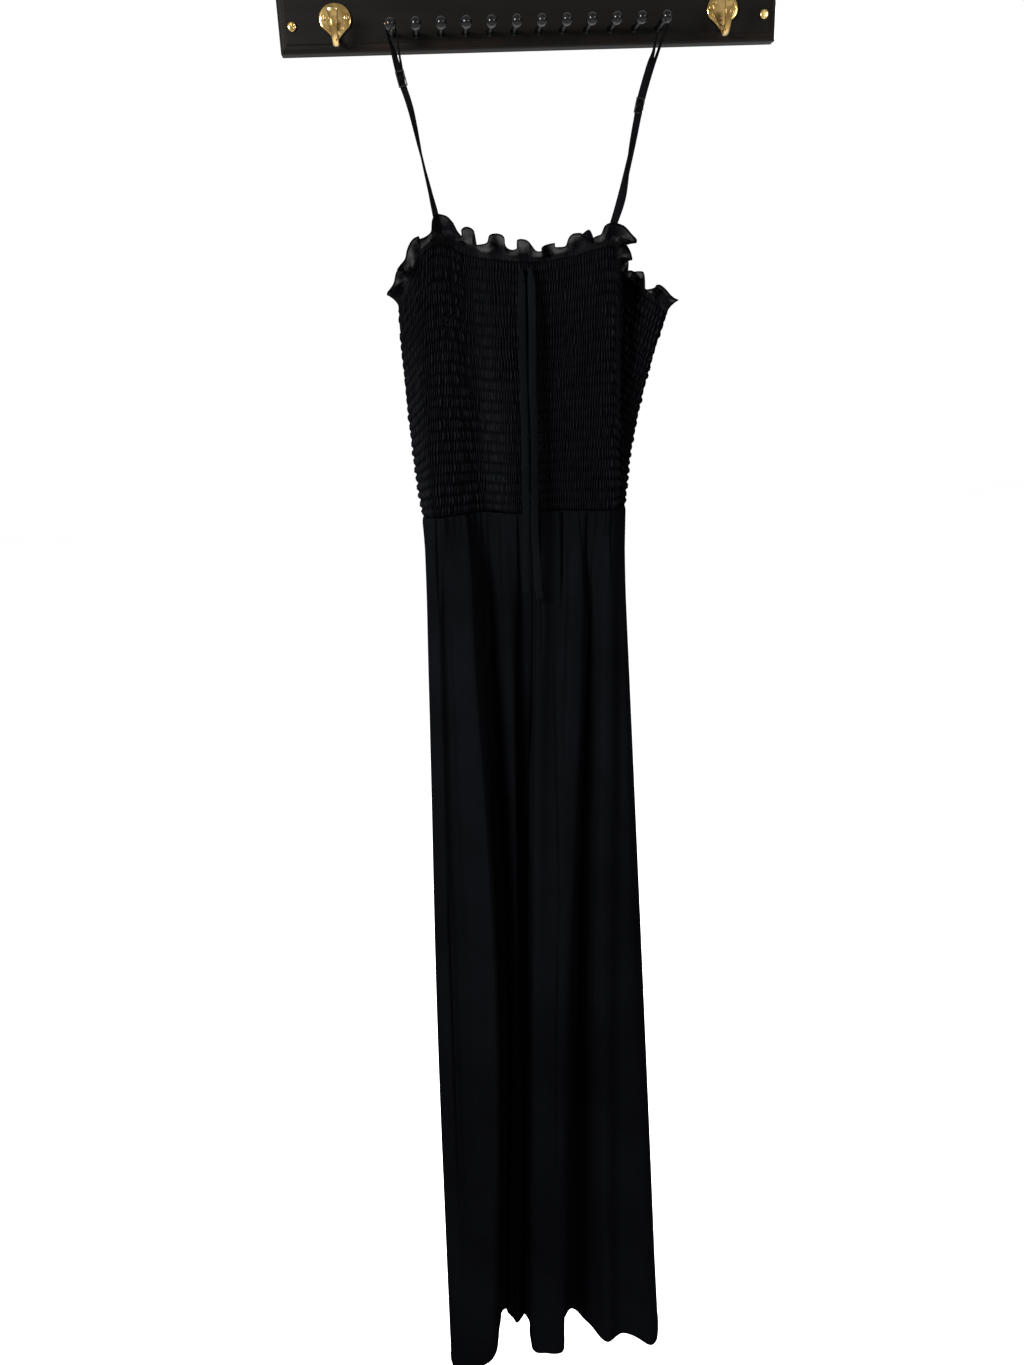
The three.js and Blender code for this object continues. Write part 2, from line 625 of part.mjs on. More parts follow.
// Ties, narrow tubes of cloth that hang from the centre front of the neckline
const TIE_RIGHT = [
  [-19.5, -66.1, -213], [-19.6, -66.8, -226], [-20.2, -67.4, -250], [-20.6, -67.8, -280],
  [-21.2, -68.2, -315], [-21.4, -68.4, -350], [-22.0, -68.6, -385], [-22.6, -69.0, -420],
  [-23.6, -71.0, -450], [-24.6, -72.4, -478], [-25.4, -73.0, -500], [-26.2, -73.2, -508],
];
const TIE_LEFT = [
  [-11.0, -64.7, -213], [-10.8, -65.9, -226], [-10.9, -67.4, -250], [-11.6, -67.8, -280],
  [-12.6, -68.2, -315], [-12.4, -68.6, -350], [-13.0, -69.0, -385], [-14.2, -69.8, -420],
  [-15.2, -73.0, -450], [-14.6, -75.4, -478], [-14.2, -76.2, -500], [-12.4, -76.4, -514],
];

function tie(route) {
  const path = new THREE.CatmullRomCurve3(route.map((p) => new THREE.Vector3(...p)));
  const section = new THREE.Shape();
  section.absarc(0, 0, TIE_RADIUS, 0, 2 * Math.PI);
  return new THREE.ExtrudeGeometry(section, {
    steps: 30,
    curveSegments: 4,
    extrudePath: path,
    bevelEnabled: false,
  });
}

addPiece("tie_right", tie(TIE_RIGHT), "ribbon");
addPiece("tie_left", tie(TIE_LEFT), "ribbon");

// Rack board with a moulded front edge
function boardSection(inset, y) {
  const x = BOARD_LONG / 2 - inset;
  const z = BOARD_TALL / 2 - inset;
  return [[-x, -z], [x, -z], [x, z], [-x, z]].map(([a, b]) => new THREE.Vector3(a, y, b));
}

addPiece("rack_board", loft([
  boardSection(0, 0),
  boardSection(0, -BOARD_THICK * 0.62),
  boardSection(EDGE_MOULDING * 0.3, -BOARD_THICK * 0.78),
  boardSection(EDGE_MOULDING * 0.75, -BOARD_THICK * 0.9),
  boardSection(EDGE_MOULDING, -BOARD_THICK * 0.9),
  boardSection(EDGE_MOULDING + 0.8, -BOARD_THICK),
]), "wood");

// Turned parts stand on the board's front face, with their axis along -Y.
function turned(profile, sides, x, z) {
  const geometry = new THREE.LatheGeometry(profile.map(([r, h]) => new THREE.Vector2(r, h)), sides);
  geometry.rotateX(Math.PI);
  geometry.translate(x, -BOARD_THICK - SEAM_GAP, z);
  return geometry;
}

// Pegs, each a straight stem with a drop-shaped knob
function pegProfile() {
  const neck = PEG_REACH - PEG_KNOB_LONG;
  const profile = [[0, 0], [PEG_RADIUS, 0], [PEG_RADIUS, neck]];
  const rings = 5;
  for (let i = 1; i < rings; i += 1) {
    const angle = Math.PI * i / rings;
    const radius = PEG_KNOB_RADIUS * Math.sin(angle);
    const height = neck + PEG_KNOB_LONG * (1 - Math.cos(angle)) / 2;
    if (radius > PEG_RADIUS || i > rings / 2) profile.push([radius, height]);
  }
  profile.push([0, PEG_REACH]);
  return profile;
}

for (let i = 0; i < PEG_COUNT; i += 1) {
  const x = mix(FIRST_PEG_X, LAST_PEG_X, i / (PEG_COUNT - 1));
  addPiece(`peg_${String(i + 1).padStart(2, "0")}`, turned(pegProfile(), 10, x, PEG_Z), "peg");
}

const SCREW_PROFILE = [[0, 0], [SCREW_RADIUS, 0], [SCREW_RADIUS, 0.9], [SCREW_RADIUS * 0.6, 1.9], [0, 2.2]];
for (const [name, x] of [["screw_right", -SCREW_X], ["screw_left", SCREW_X]]) {
  addPiece(name, turned(SCREW_PROFILE, 12, x, SCREW_Z), "brass");
}

// Brass hooks, a pear-shaped plate with a finger that curls up from its point
function hookPlate() {
  const outline = new THREE.Shape();
  const half = 13;
  const point = -17.5;
  const crown = 12;
  outline.moveTo(0, point);
  outline.quadraticCurveTo(3.6, -11.5, 9.2, -7);
  outline.quadraticCurveTo(half + 1, -3.4, half, 1.2);
  outline.bezierCurveTo(half - 1.6, 6.2, 5.5, crown - 0.3, 0, crown);
  outline.bezierCurveTo(-5.5, crown - 0.3, -half + 1.6, 6.2, -half, 1.2);
  outline.quadraticCurveTo(-half - 1, -3.4, -9.2, -7);
  outline.quadraticCurveTo(-3.6, -11.5, 0, point);
  const geometry = new THREE.ExtrudeGeometry(outline, {
    depth: 1.2, bevelEnabled: true, bevelThickness: 0.6, bevelSize: 0.9, bevelSegments: 1, curveSegments: 4,
  });
  geometry.rotateX(Math.PI / 2);
  geometry.translate(0, -BOARD_THICK - SEAM_GAP - 0.6, HOOK_Z);
  return geometry;
}

const FINGER = [
  { y: -20.2, z: -19.0, wide: 2.6, thick: 0.9 },
  { y: -24.0, z: -24.6, wide: 2.6, thick: 1.4 },
  { y: -30.0, z: -27.2, wide: 2.7, thick: 1.6 },
  { y: -36.5, z: -24.2, wide: 2.8, thick: 1.6 },
  { y: -40.5, z: -17.0, wide: 3.1, thick: 1.5 },
  { y: -42.2, z: -9.8, wide: 3.8, thick: 1.6 },
  { y: -44.2, z: -5.2, wide: 4.1, thick: 1.8 },
  { y: -45.4, z: -3.4, wide: 2.2, thick: 1.0 },
];

function hookFinger() {
  const knots = FINGER.map((p) => new THREE.Vector3(0, p.y, p.z));
  const curve = new THREE.CatmullRomCurve3(knots, false, "centripetal");
  const sides = 8;
  return loft(FINGER.map((row, k) => {
    const tangent = curve.getTangent(k / (FINGER.length - 1));
    const across = new THREE.Vector3(1, 0, 0);
    const thick = new THREE.Vector3().crossVectors(tangent, across);
    return Array.from({ length: sides }, (_, i) => {
      const angle = 2 * Math.PI * i / sides;
      return new THREE.Vector3(0, row.y, row.z)
        .addScaledVector(across, row.wide * Math.cos(angle))
        .addScaledVector(thick, row.thick * Math.sin(angle));
    });
  }));
}

const hookBody = fromManifold(toManifold(hookPlate()).add(toManifold(hookFinger())));
for (const [name, x] of [["hook_right", -HOOK_X], ["hook_left", HOOK_X]]) {
  addPiece(name, hookBody.clone().translate(x, 0, 0), "brass");
  for (const [end, dx] of [["outer", 10], ["inner", -10]]) {
    const screwX = x + Math.sign(x) * dx;
    const screw = turned(SCREW_PROFILE.map(([r, h]) => [r * 0.62, h * 0.5]), 10, screwX, HOOK_Z + 1.5);
    addPiece(`${name}_screw_${end}`, screw.translate(0, -2.7, 0), "brass");
  }
}

export default jumpsuit;
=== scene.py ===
import math

import bmesh
import bpy
import numpy as np
from mathutils import Matrix, Vector


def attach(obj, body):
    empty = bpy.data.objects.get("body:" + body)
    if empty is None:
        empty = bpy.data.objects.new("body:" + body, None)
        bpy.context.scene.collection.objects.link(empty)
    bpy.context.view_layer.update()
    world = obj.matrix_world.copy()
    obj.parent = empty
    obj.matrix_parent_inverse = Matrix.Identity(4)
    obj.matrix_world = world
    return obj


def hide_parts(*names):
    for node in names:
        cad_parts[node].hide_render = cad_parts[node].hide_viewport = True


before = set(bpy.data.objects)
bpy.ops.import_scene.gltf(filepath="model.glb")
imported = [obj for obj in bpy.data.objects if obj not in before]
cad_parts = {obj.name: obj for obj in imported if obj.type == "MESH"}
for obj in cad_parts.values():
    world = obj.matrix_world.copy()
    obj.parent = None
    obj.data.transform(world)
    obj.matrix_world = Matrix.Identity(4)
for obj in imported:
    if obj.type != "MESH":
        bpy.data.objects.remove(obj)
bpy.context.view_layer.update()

# Camera
# It looks a little down and to the right, from in front of the bodice, as the photo was taken.

CAMERA_AT = (-0.0963, -1.050, -0.262)
PITCH, YAW, ROLL = (math.radians(angle) for angle in (19.0, 3.1, 2.4))
camera = bpy.data.objects.new("camera", bpy.data.cameras.new("camera"))
camera.data.lens = 27.19
camera.data.sensor_width = 36
camera.matrix_world = (
    Matrix.Translation(CAMERA_AT)
    @ Matrix.Rotation(-YAW, 4, "Z")
    @ Matrix.Rotation(math.pi / 2 - PITCH, 4, "X")
    @ Matrix.Rotation(-ROLL, 4, "Z")
)
bpy.context.scene.collection.objects.link(camera)
bpy.context.scene.camera = camera

# Light
# A white room with three soft lamps: one high on the left, whose light the folds' left sides catch,
# a weak one on the right, and one behind on the right for the back.

world = bpy.data.worlds.new("white room")
world.use_nodes = True
world.node_tree.nodes["Background"].inputs["Color"].default_value = (1, 1, 1, 1)
world.node_tree.nodes["Background"].inputs["Strength"].default_value = 1.0
bpy.context.scene.world = world
bpy.context.scene.view_settings.view_transform = "Standard"


def lamp(name, place, aim, size, power):
    made = bpy.data.objects.new(name, bpy.data.lights.new(name, "AREA"))
    made.data.size = size
    made.data.energy = power
    made.location = place
    made.rotation_euler = (Vector(aim) - Vector(place)).to_track_quat("-Z", "Y").to_euler()
    bpy.context.scene.collection.objects.link(made)


lamp("key", (-0.85, -0.85, 0.05), (0, 0, -0.55), 0.4, 66)
lamp("side", (0.95, -1.1, 0.1), (0, 0, -0.6), 0.5, 18)
lamp("back", (0.9, 1.1, 0.1), (0, 0, -0.6), 0.5, 110)

# Ties
# Two narrow tubes of crepe, pressed flat, which hang free from the foot of the frill at the centre
# front. Each is turned right side out through its open top, and sewn shut at its lower end. What
# follows a tie's route is how far its width is turned, in degrees, at shares of its length.

TIE_WIDE = 0.0072
TIE_THICK = 0.0021
# x, y, z of each place that the tie passes.
TIE_RIGHT = np.array([
    (-0.0195, -0.0661, -0.213), (-0.0196, -0.0668, -0.226), (-0.0202, -0.0674, -0.25),
    (-0.0206, -0.0678, -0.28), (-0.0212, -0.0682, -0.315), (-0.0214, -0.0684, -0.35),
    (-0.022, -0.0686, -0.385), (-0.0226, -0.069, -0.42), (-0.0236, -0.071, -0.45),
    (-0.0246, -0.0724, -0.478), (-0.0254, -0.073, -0.5), (-0.0262, -0.0732, -0.508),
])
TIE_LEFT = np.array([
    (-0.011, -0.0647, -0.213), (-0.0108, -0.0659, -0.226), (-0.0109, -0.0674, -0.25),
    (-0.0116, -0.0678, -0.28), (-0.0126, -0.0682, -0.315), (-0.0124, -0.0686, -0.35),
    (-0.013, -0.069, -0.385), (-0.0142, -0.0698, -0.42), (-0.0152, -0.073, -0.45),
    (-0.0146, -0.0754, -0.478), (-0.0142, -0.0762, -0.5), (-0.0124, -0.0764, -0.514),
])


class Strand:
    """A shader socket that can be used in sums."""

    def __init__(self, tree, socket=None):
        self.tree = tree
        self.socket = socket

    def node(self, kind, settings=None, inputs=None, output=0):
        """One of the outputs of a new node of any kind."""
        made = self.tree.nodes.new(kind)
        for key, value in (settings or {}).items():
            if key == "stops":
                while len(made.color_ramp.elements) < len(value):
                    made.color_ramp.elements.new(1)
                for element, (place, colour) in zip(made.color_ramp.elements, value):
                    element.position = place
                    element.color = (*colour, 1)
            else:
                setattr(made, key, value)
        for key, value in (inputs or {}).items():
            if isinstance(value, Strand):
                self.tree.links.new(value.socket, made.inputs[key])
            else:
                made.inputs[key].default_value = value
        return Strand(self.tree, made.outputs[output])

    def maths(self, operation, *others):
        return self.node("ShaderNodeMath", {"operation": operation}, dict(enumerate((self, *others))))

    def __add__(self, other):
        return self.maths("ADD", other)

    def __mul__(self, other):
        return self.maths("MULTIPLY", other)

    def __sub__(self, other):
        return self.maths("SUBTRACT", other)

    def __rsub__(self, other):
        return self.node("ShaderNodeMath", {"operation": "SUBTRACT"}, {0: other, 1: self})

    __radd__ = __add__
    __rmul__ = __mul__

    def between(self, low, high):
        """0 at low, 1 at high and smooth in between."""
        return self.node(
            "ShaderNodeMapRange",
            {"interpolation_type": "SMOOTHSTEP"},
            {"Value": self, "From Min": low, "From Max": high},
        )

    def colour(self, low, high):
        """A colour between two colours, or between a colour and a coloured socket."""
        low, high = ((*c, 1) if isinstance(c, tuple) else c for c in (low, high))
        return self.node("ShaderNodeMix", {"data_type": "RGBA"}, {0: self, 6: low, 7: high}, 2)

    def axis(self, number):
        return self.node("ShaderNodeSeparateXYZ", inputs={0: self}, output=number)

    def noise(self, scale, stretch=(1, 1, 1), detail=3.0, roughness=0.5):
        """Noise from 0 to 1 at this place, drawn out where stretch is small."""
        spot = self.node("ShaderNodeVectorMath", {"operation": "MULTIPLY"}, {0: self, 1: stretch})
        inputs = {"Vector": spot, "Scale": scale, "Detail": detail, "Roughness": roughness}
        return self.node("ShaderNodeTexNoise", inputs=inputs)

    def relief(self, depth, under=None):
        """Bump with this height, which is depth metres at 1."""
        inputs = {"Strength": 1.0, "Distance": depth, "Height": self}
        if under:
            inputs["Normal"] = under
        return self.node("ShaderNodeBump", inputs=inputs)


def shaded(name, **constants):
    """A new material, with constants set on its shader, and a strand to grow its nodes from."""
    made = bpy.data.materials.new(name)
    made.use_nodes = True
    shader = made.node_tree.nodes["Principled BSDF"]
    for key, value in constants.items():
        shader.inputs[key.replace("_", " ")].default_value = value
    return made, Strand(made.node_tree)


def driven(made, **strands):
    """Links strands to the shader of a material."""
    shader = made.node_tree.nodes["Principled BSDF"]
    for key, strand in strands.items():
        made.node_tree.links.new(strand.socket, shader.inputs[key.replace("_", " ")])
    return made


def crepe(name, dark, light, painted_crest_sheen=False):
    """Matt black crepe: a pebbled face of fine crossed threads, a little uneven in its dye. For
    shirred cloth, the colour is painted paler on the crests of the puckers as painted sheen, and
    darker in their valleys as painted shade."""
    made, strand = shaded(name, Specular_IOR_Level=0.0)
    place = strand.node("ShaderNodeTexCoord", output="Object")
    dye = place.noise(9, detail=4)
    pebble = place.noise(900, detail=2)
    thread = place.noise(420, (1, 1, 0.25), detail=1)
    tone = (dye * 0.6 + pebble * 0.4).between(0.3, 0.7)
    if painted_crest_sheen:
        # Painted sheen and painted shade: the crest height paints the crests paler and the valleys darker.
        crest = strand.node("ShaderNodeAttribute", {"attribute_name": "crest"}, output="Fac")
        tone = crest * (tone * 0.5 + 0.75)
    return driven(
        made,
        Base_Color=tone.colour(dark, light),
        Roughness=pebble * 0.2 + 0.45,
        Normal=thread.relief(0.00010, pebble.relief(0.00016)),
    )


def shaped(name, bm, smooth=True):
    """A piece from a finished bmesh."""
    mesh = bpy.data.meshes.new(name)
    bm.to_mesh(mesh)
    bm.free()
    if smooth:
        mesh.shade_smooth()
    made = bpy.data.objects.new(name, mesh)
    bpy.context.scene.collection.objects.link(made)
    return made


def formed(name, places, joined=False):
    """A grid of faces moved to places (rows, columns, xyz). Joined grids are tubes: their first and
    last columns meet, and their ends are closed."""
    rows, columns = places.shape[:2]
    bm = bmesh.new()
    bm.loops.layers.uv.new("cloth")
    bmesh.ops.create_grid(bm, x_segments=columns - 1, y_segments=rows - 1, size=1, calc_uvs=True)
    for vert, place in zip(bm.verts, places.reshape(-1, 3)):
        vert.co = place
    if joined:
        bmesh.ops.remove_doubles(bm, verts=bm.verts, dist=1e-6)
        ends = bmesh.ops.holes_fill(bm, edges=bm.edges, sides=0)["faces"]
        bmesh.ops.triangulate(bm, faces=ends)
        bmesh.ops.recalc_face_normals(bm, faces=bm.faces)
    return shaped(name, bm)


def dressed(piece, finish, slot, *nodes):
    """Gives a piece its material and its place on the object."""
    piece.data.materials.append(finish)
    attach(piece, "root")
    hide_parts(*nodes)
    return piece


def smooth_curve(knots, places):
    """Places on the centripetal curve through knots (..., knots, xyz), whose first and last are
    neighbours that it doesn't reach. A whole number is a knot."""
    k = np.clip(np.floor(places).astype(int), 1, knots.shape[-2] - 3)
    x = (places - k)[:, None]
    p0, p1, p2, p3 = (knots[..., k + i, :] for i in (-1, 0, 1, 2))

    def gap(a, b):
        return np.maximum(np.linalg.norm(b - a, axis=-1, keepdims=True), 1e-6) ** 0.5

    d0, d1, d2 = gap(p0, p1), gap(p1, p2), gap(p2, p3)
    m1 = ((p1 - p0) / d0 - (p2 - p0) / (d0 + d1) + (p2 - p1) / d1) * d1
    m2 = ((p2 - p1) / d1 - (p3 - p1) / (d1 + d2) + (p3 - p2) / d2) * d1
    h1, h2 = 2 * x**3 - 3 * x**2 + 1, x**3 - 2 * x**2 + x
    return h1 * p1 + h2 * m1 + (1 - h1) * p2 + (x**3 - x**2) * m2


def route_through(knots, steps):
    """Evenly numbered places along an open route, ends included."""
    ends = np.vstack([2 * knots[:1] - knots[1:2], knots, 2 * knots[-1:] - knots[-2:-1]])
    return smooth_curve(ends, np.linspace(1, len(knots), steps))


def unit(v):
    return v / np.maximum(np.linalg.norm(v, axis=-1, keepdims=True), 1e-9)


def tie(name, node, knots, turns, flare):
    centre = route_through(knots, 160)
    down = unit(np.gradient(centre, axis=0))
    share = np.linspace(0, 1, len(centre))
    turn = np.radians(np.interp(share, *zip(*turns)))[:, None]
    across = np.hstack([np.cos(turn), np.sin(turn), 0 * turn])
    across = unit(across - down * (across * down).sum(1, keepdims=True))
    out = np.cross(down, across)
    # The top is gathered into the seam, the end is a little wider where the seam allowance lies.
    wide = np.interp(
        share, [0, 0.02, 0.05, 0.1, 0.96, 0.985, 0.997, 1], [0.55, 0.6, 0.85, 1, 1, flare, flare, 0.9],
    )
    thick = np.interp(share, [0, 0.02, 0.04, 0.08, 0.96, 0.99, 1], [1.5, 2.0, 1.5, 1, 1, 1.15, 0.5])
    angle = np.append(np.linspace(0, 2 * np.pi, 21)[:-1], 0.0)
    side = np.sign(np.cos(angle)) * np.abs(np.cos(angle)) ** 0.8
    face = np.sign(np.sin(angle)) * np.abs(np.sin(angle)) ** 0.75
    places = (
        centre[:, None]
        + across[:, None] * (wide[:, None] * side * TIE_WIDE / 2)[..., None]
        + out[:, None] * (thick[:, None] * face * TIE_THICK / 2)[..., None]
    )
    piece = formed(name, places, joined=True)
    dressed(piece, tie_crepe, "tie_crepe", node)
    centre[::4].tolist() + [centre[-1].tolist()]


tie_crepe = crepe("tie crepe", (0.0008, 0.0009, 0.0010), (0.0017, 0.0018, 0.0021))
RIGHT_TURNS = [(0, 0), (0.3, 8), (0.6, -6), (0.85, 10), (1, -4)]
LEFT_TURNS = [(0, 0), (0.25, -10), (0.5, 14), (0.8, -8), (1, 6)]
tie("tie_right_tube", "tie_right", TIE_RIGHT, RIGHT_TURNS, 1.06)
tie("tie_left_tube", "tie_left", TIE_LEFT, LEFT_TURNS, 1.1)

# Shirred bodice
# Two panels of crepe gathered on 25 rows of elastic thread, so that each band between two rows
# stands up in small uneven puffs. The panels meet at the side seams.

SHIRR_BANDS = 24
PUCKERS = 120
WAIST_Z = -0.432
CLOTH = 0.001
PUFF_TALL = 0.0040
# top x, top y, top z, waist x, waist y, bow along x at half height, for each fold from the top to
# the waist.
BODICE_FRONT = np.array([
    (-0.131, -0.045, -0.241, -0.121, -0.045, -0.0027),  # right side seam
    (-0.118, -0.056, -0.22, -0.117, -0.055, -0.0022),  # right side face
    (-0.099, -0.061, -0.192, -0.11, -0.061, -0.001),  # right strap ridge
    (-0.086, -0.058, -0.19, -0.088, -0.052, 0),  # right face
    (-0.07, -0.052, -0.198, -0.062, -0.037, 0),  # right valley
    (-0.044, -0.062, -0.204, -0.033, -0.059, 0),  # inner ridge
    (-0.016, -0.062, -0.207, -0.016, -0.057, 0),  # centre front
    (0.002, -0.057, -0.207, 0.001, -0.05, 0),  # centre valley
    (0.032, -0.063, -0.203, 0.032, -0.06, 0),  # left face
    (0.062, -0.065, -0.197, 0.06, -0.066, 0),  # left strap ridge
    (0.0685, -0.043, -0.207, 0.066, -0.054, 0),  # left valley wall
    (0.081, -0.024, -0.224, 0.07, -0.046, -0.002),  # left valley
    (0.103, -0.042, -0.244, 0.074, -0.044, -0.006),  # left side ridge
])
BODICE_BACK = np.array([
    (0.118, -0.039, -0.256, 0.077, -0.039, -0.0065),  # left side seam
    (0.11, -0.026, -0.252, 0.074, -0.031, -0.0065),  # left back ridge
    (0.082, -0.009, -0.228, 0.06, -0.021, -0.004),  # left back flat
    (0.056, -0.02, -0.196, 0.042, -0.03, -0.002),  # left back strap
    (0.024, -0.036, -0.222, 0.012, -0.036, 0),  # left back valley
    (-0.014, -0.024, -0.232, -0.022, -0.024, 0),  # centre back
    (-0.048, -0.034, -0.222, -0.052, -0.021, 0),  # right back valley
    (-0.086, -0.026, -0.196, -0.084, -0.024, 0),  # right back strap
    (-0.112, -0.03, -0.222, -0.11, -0.033, -0.0022),  # right back flat
])


def bodice_lines(folds, v):
    """Places of the folds at heights v, 0 at the top edge and 1 at the waist."""
    waist = np.column_stack([folds[:, 3:5], np.full(len(folds), WAIST_Z)])
    v = v[:, None, None]
    lines = folds[:, :3] * (1 - v) + waist * v
    lines[..., 0] += (4 * v * (1 - v))[..., 0] * folds[:, 5]
    return lines


def with_neighbours(panel, other):
    """The folds of a panel up to both seams, and the next fold past each."""
    return np.concatenate([other[:, -1:], panel, other[:, :2]], axis=1)


def even_columns(knots, count):
    """Places along the folds that part the cloth evenly, on the average of its rows."""
    dense = np.linspace(1, knots.shape[1] - 2, 900)
    line = smooth_curve(knots[:: max(1, len(knots) // 8)], dense)
    run = np.linalg.norm(np.diff(line, axis=1), axis=2).mean(0).cumsum()
    return np.interp(np.linspace(0, run[-1], count), np.append(0, run), dense)


def outward(places):
    """Unit normals of a grid of places, whose columns run round the body and rows run up."""
    return unit(np.cross(np.gradient(places, axis=1), np.gradient(places, axis=0)))


def steady(table, spots):
    """Values of a table of random numbers (rows, numbers) at places between them."""
    k = np.floor(spots).astype(int)
    share = spots - k
    share = share * share * (3 - 2 * share)
    row = np.arange(len(table))[:, None]
    return table[row, k] * (1 - share) + table[row, k + 1] * share


def walled(piece, thickness, offset=-1):
    """Gives a sheet its thickness, which lies inside its face unless offset says otherwise."""
    wall = piece.modifiers.new("cloth", "SOLIDIFY")
    wall.thickness = thickness
    wall.offset = offset


def shirred(name, node, panel, other, seed):
    columns, rows = PUCKERS * 5 + 1, SHIRR_BANDS * 3 + 1
    v = np.linspace(1, 0, rows)
    knots = with_neighbours(bodice_lines(panel, v), bodice_lines(other, v))
    places = smooth_curve(knots, even_columns(knots, columns))
    out = outward(places)
    chance = np.random.default_rng(seed)
    u = np.linspace(0, PUCKERS, columns)[None]
    band = np.minimum((v * SHIRR_BANDS).astype(int), SHIRR_BANDS - 1)
    within = v * SHIRR_BANDS - band
    # Each band has its own jitter, so that the puffs are set like uneven bricks.
    shift = chance.uniform(-0.5, 0.5, (SHIRR_BANDS, 1)) * 0.6

    def by_band(low, high, numbers, spots):
        table = chance.uniform(low, high, (SHIRR_BANDS, numbers))
        return steady(table, np.repeat(spots, SHIRR_BANDS, 0))

    drift = by_band(-0.6, 0.6, 40, u / PUCKERS * 38)
    slant = by_band(-0.1, 0.5, 20, u / PUCKERS * 18)
    full = by_band(0.3, 1.1, PUCKERS + 3, u + 0.5)
    phase = u + (shift + drift)[band] + slant[band] * (within[:, None] - 0.5)
    ridge = (0.5 + 0.5 * np.cos(2 * np.pi * phase)) ** 2
    puff = np.sin(np.pi * np.clip(within, 0, 1))[:, None] ** 0.5
    height = PUFF_TALL * full[band] * ridge * (0.3 + 0.7 * puff) + 0.0002 * puff
    height = height * np.clip(np.minimum(v + 0.004, 1 - v) * SHIRR_BANDS / 0.6, 0.15, 1)[:, None]
    seam = np.minimum(u, PUCKERS - u) / 2.0
    height = height * np.clip(seam, 0, 1) - 0.0006 * np.exp(-((seam / 0.35) ** 2))
    places = places + out * height[..., None]
    piece = formed(name, places)
    # The puckers' height, kept for the painted sheen on their crests and the painted shade in their valleys.
    crest = piece.data.attributes.new("crest", "FLOAT", "POINT")
    crest.data.foreach_set("value", np.clip(height / (0.65 * PUFF_TALL), 0, 1).ravel())
    walled(piece, CLOTH)
    return dressed(piece, shirred_crepe, "crepe", node)


# The bodice crepe takes the painted sheen on its crests and painted shade in its valleys; its paler colour
# shows only on the crests.
shirred_crepe = crepe("shirred crepe", (0.0005, 0.0005, 0.0006), (0.0026, 0.0027, 0.0033), painted_crest_sheen=True)
crepe_black = crepe("crepe", (0.0008, 0.00084, 0.0010), (0.0014, 0.0015, 0.0019))
front = shirred("bodice_front_cloth", "bodice_front", BODICE_FRONT, BODICE_BACK, 11)
back = shirred("bodice_back_cloth", "bodice_back", BODICE_BACK, BODICE_FRONT, 12)

# Frill
# One layer of thin crepe gathered along the bodice's top edge, with a narrow rolled hem on its
# free edge. It flops outward in loose loops.

FRILL_CLOTH = 0.0007
FRONT_WAVES = 13
BACK_WAVES = 12
# share of the edge, height, flare
FRILL_FRONT = np.array([
    (0, 0.015, 0.009), (0.09, 0.019, 0.014), (0.18, 0.017, 0.009), (0.25, 0.023, 0.007),
    (0.34, 0.018, 0.007), (0.46, 0.015, 0.006), (0.5, 0.010, 0.006), (0.54, 0.015, 0.006),
    (0.66, 0.016, 0.008), (0.73, 0.016, 0.015), (0.79, 0.016, 0.009), (0.84, 0.015, 0.003),
    (0.92, 0.016, 0.008), (1, 0.016, 0.010),
])
FRILL_BACK = np.array([(0, 0.016, 0.010), (0.5, 0.016, 0.008), (1, 0.015, 0.009)])


def frill(name, node, panel, other, waves, shape, seed):
    top = np.zeros(1)
    knots = with_neighbours(bodice_lines(panel, top), bodice_lines(other, top))
    foot = smooth_curve(knots, even_columns(knots, 560))[0]
    share = np.linspace(0, 1, len(foot))
    heading = unit(np.gradient(foot, axis=0) * (1, 1, 0))
    out = np.column_stack([heading[:, 1], -heading[:, 0], 0 * share])
    tall, flare = (np.interp(share, shape[:, 0], shape[:, i]) for i in (1, 2))
    phase = 2 * np.pi * waves * share + 0.9 * np.sin(2 * np.pi * 2.3 * share)
    ends = np.minimum(1, 30 * np.minimum(share, 1 - share))
    chance = np.random.default_rng(seed)
    ripple = steady(chance.uniform(-1, 1, (1, 90)), share[None] * 88)[0]
    level = np.linspace(0, 1, 26)[:, None]
    gather = np.exp(-((level / 0.18) ** 2)) * np.sin(2 * np.pi * 75 * share + 3 * ripple) * 0.0005 * ends
    half_wave = np.mod(phase / np.pi, 2 * waves) + 0.5
    loop = steady(chance.uniform(0.55, 1.25, (1, 2 * waves + 3)), half_wave[None])[0]
    swing = 0.0066 * level**0.8 * ends * loop * np.sin(phase) + 0.0011 * level * ends * ripple + gather
    slide = -0.0021 * level * ends * loop * np.sin(2 * phase)
    # The part of each loop that leans out droops, and its edge hangs over the gathers.
    droop = np.clip(np.sin(phase), 0, 1) ** 1.5 * ends
    crest = (0.5 - 0.5 * np.sin(phase)) ** 1.6 * ends
    arch = 0.74 + 0.46 * crest * loop**0.5
    rise = tall * (level * arch - 0.22 * droop * level**3)
    rise = rise + 0.0009 * level**2 * ripple * ends
    roll = 0.0005 * np.exp(-(((level - 1) / 0.05) ** 2))
    lean = flare * level**2 + swing + roll
    places = foot + out * lean[..., None] + heading * slide[..., None]
    places[..., 2] += rise - 0.0004
    piece = formed(name, places)
    walled(piece, FRILL_CLOTH)
    return dressed(piece, voile, "frill_voile", node)


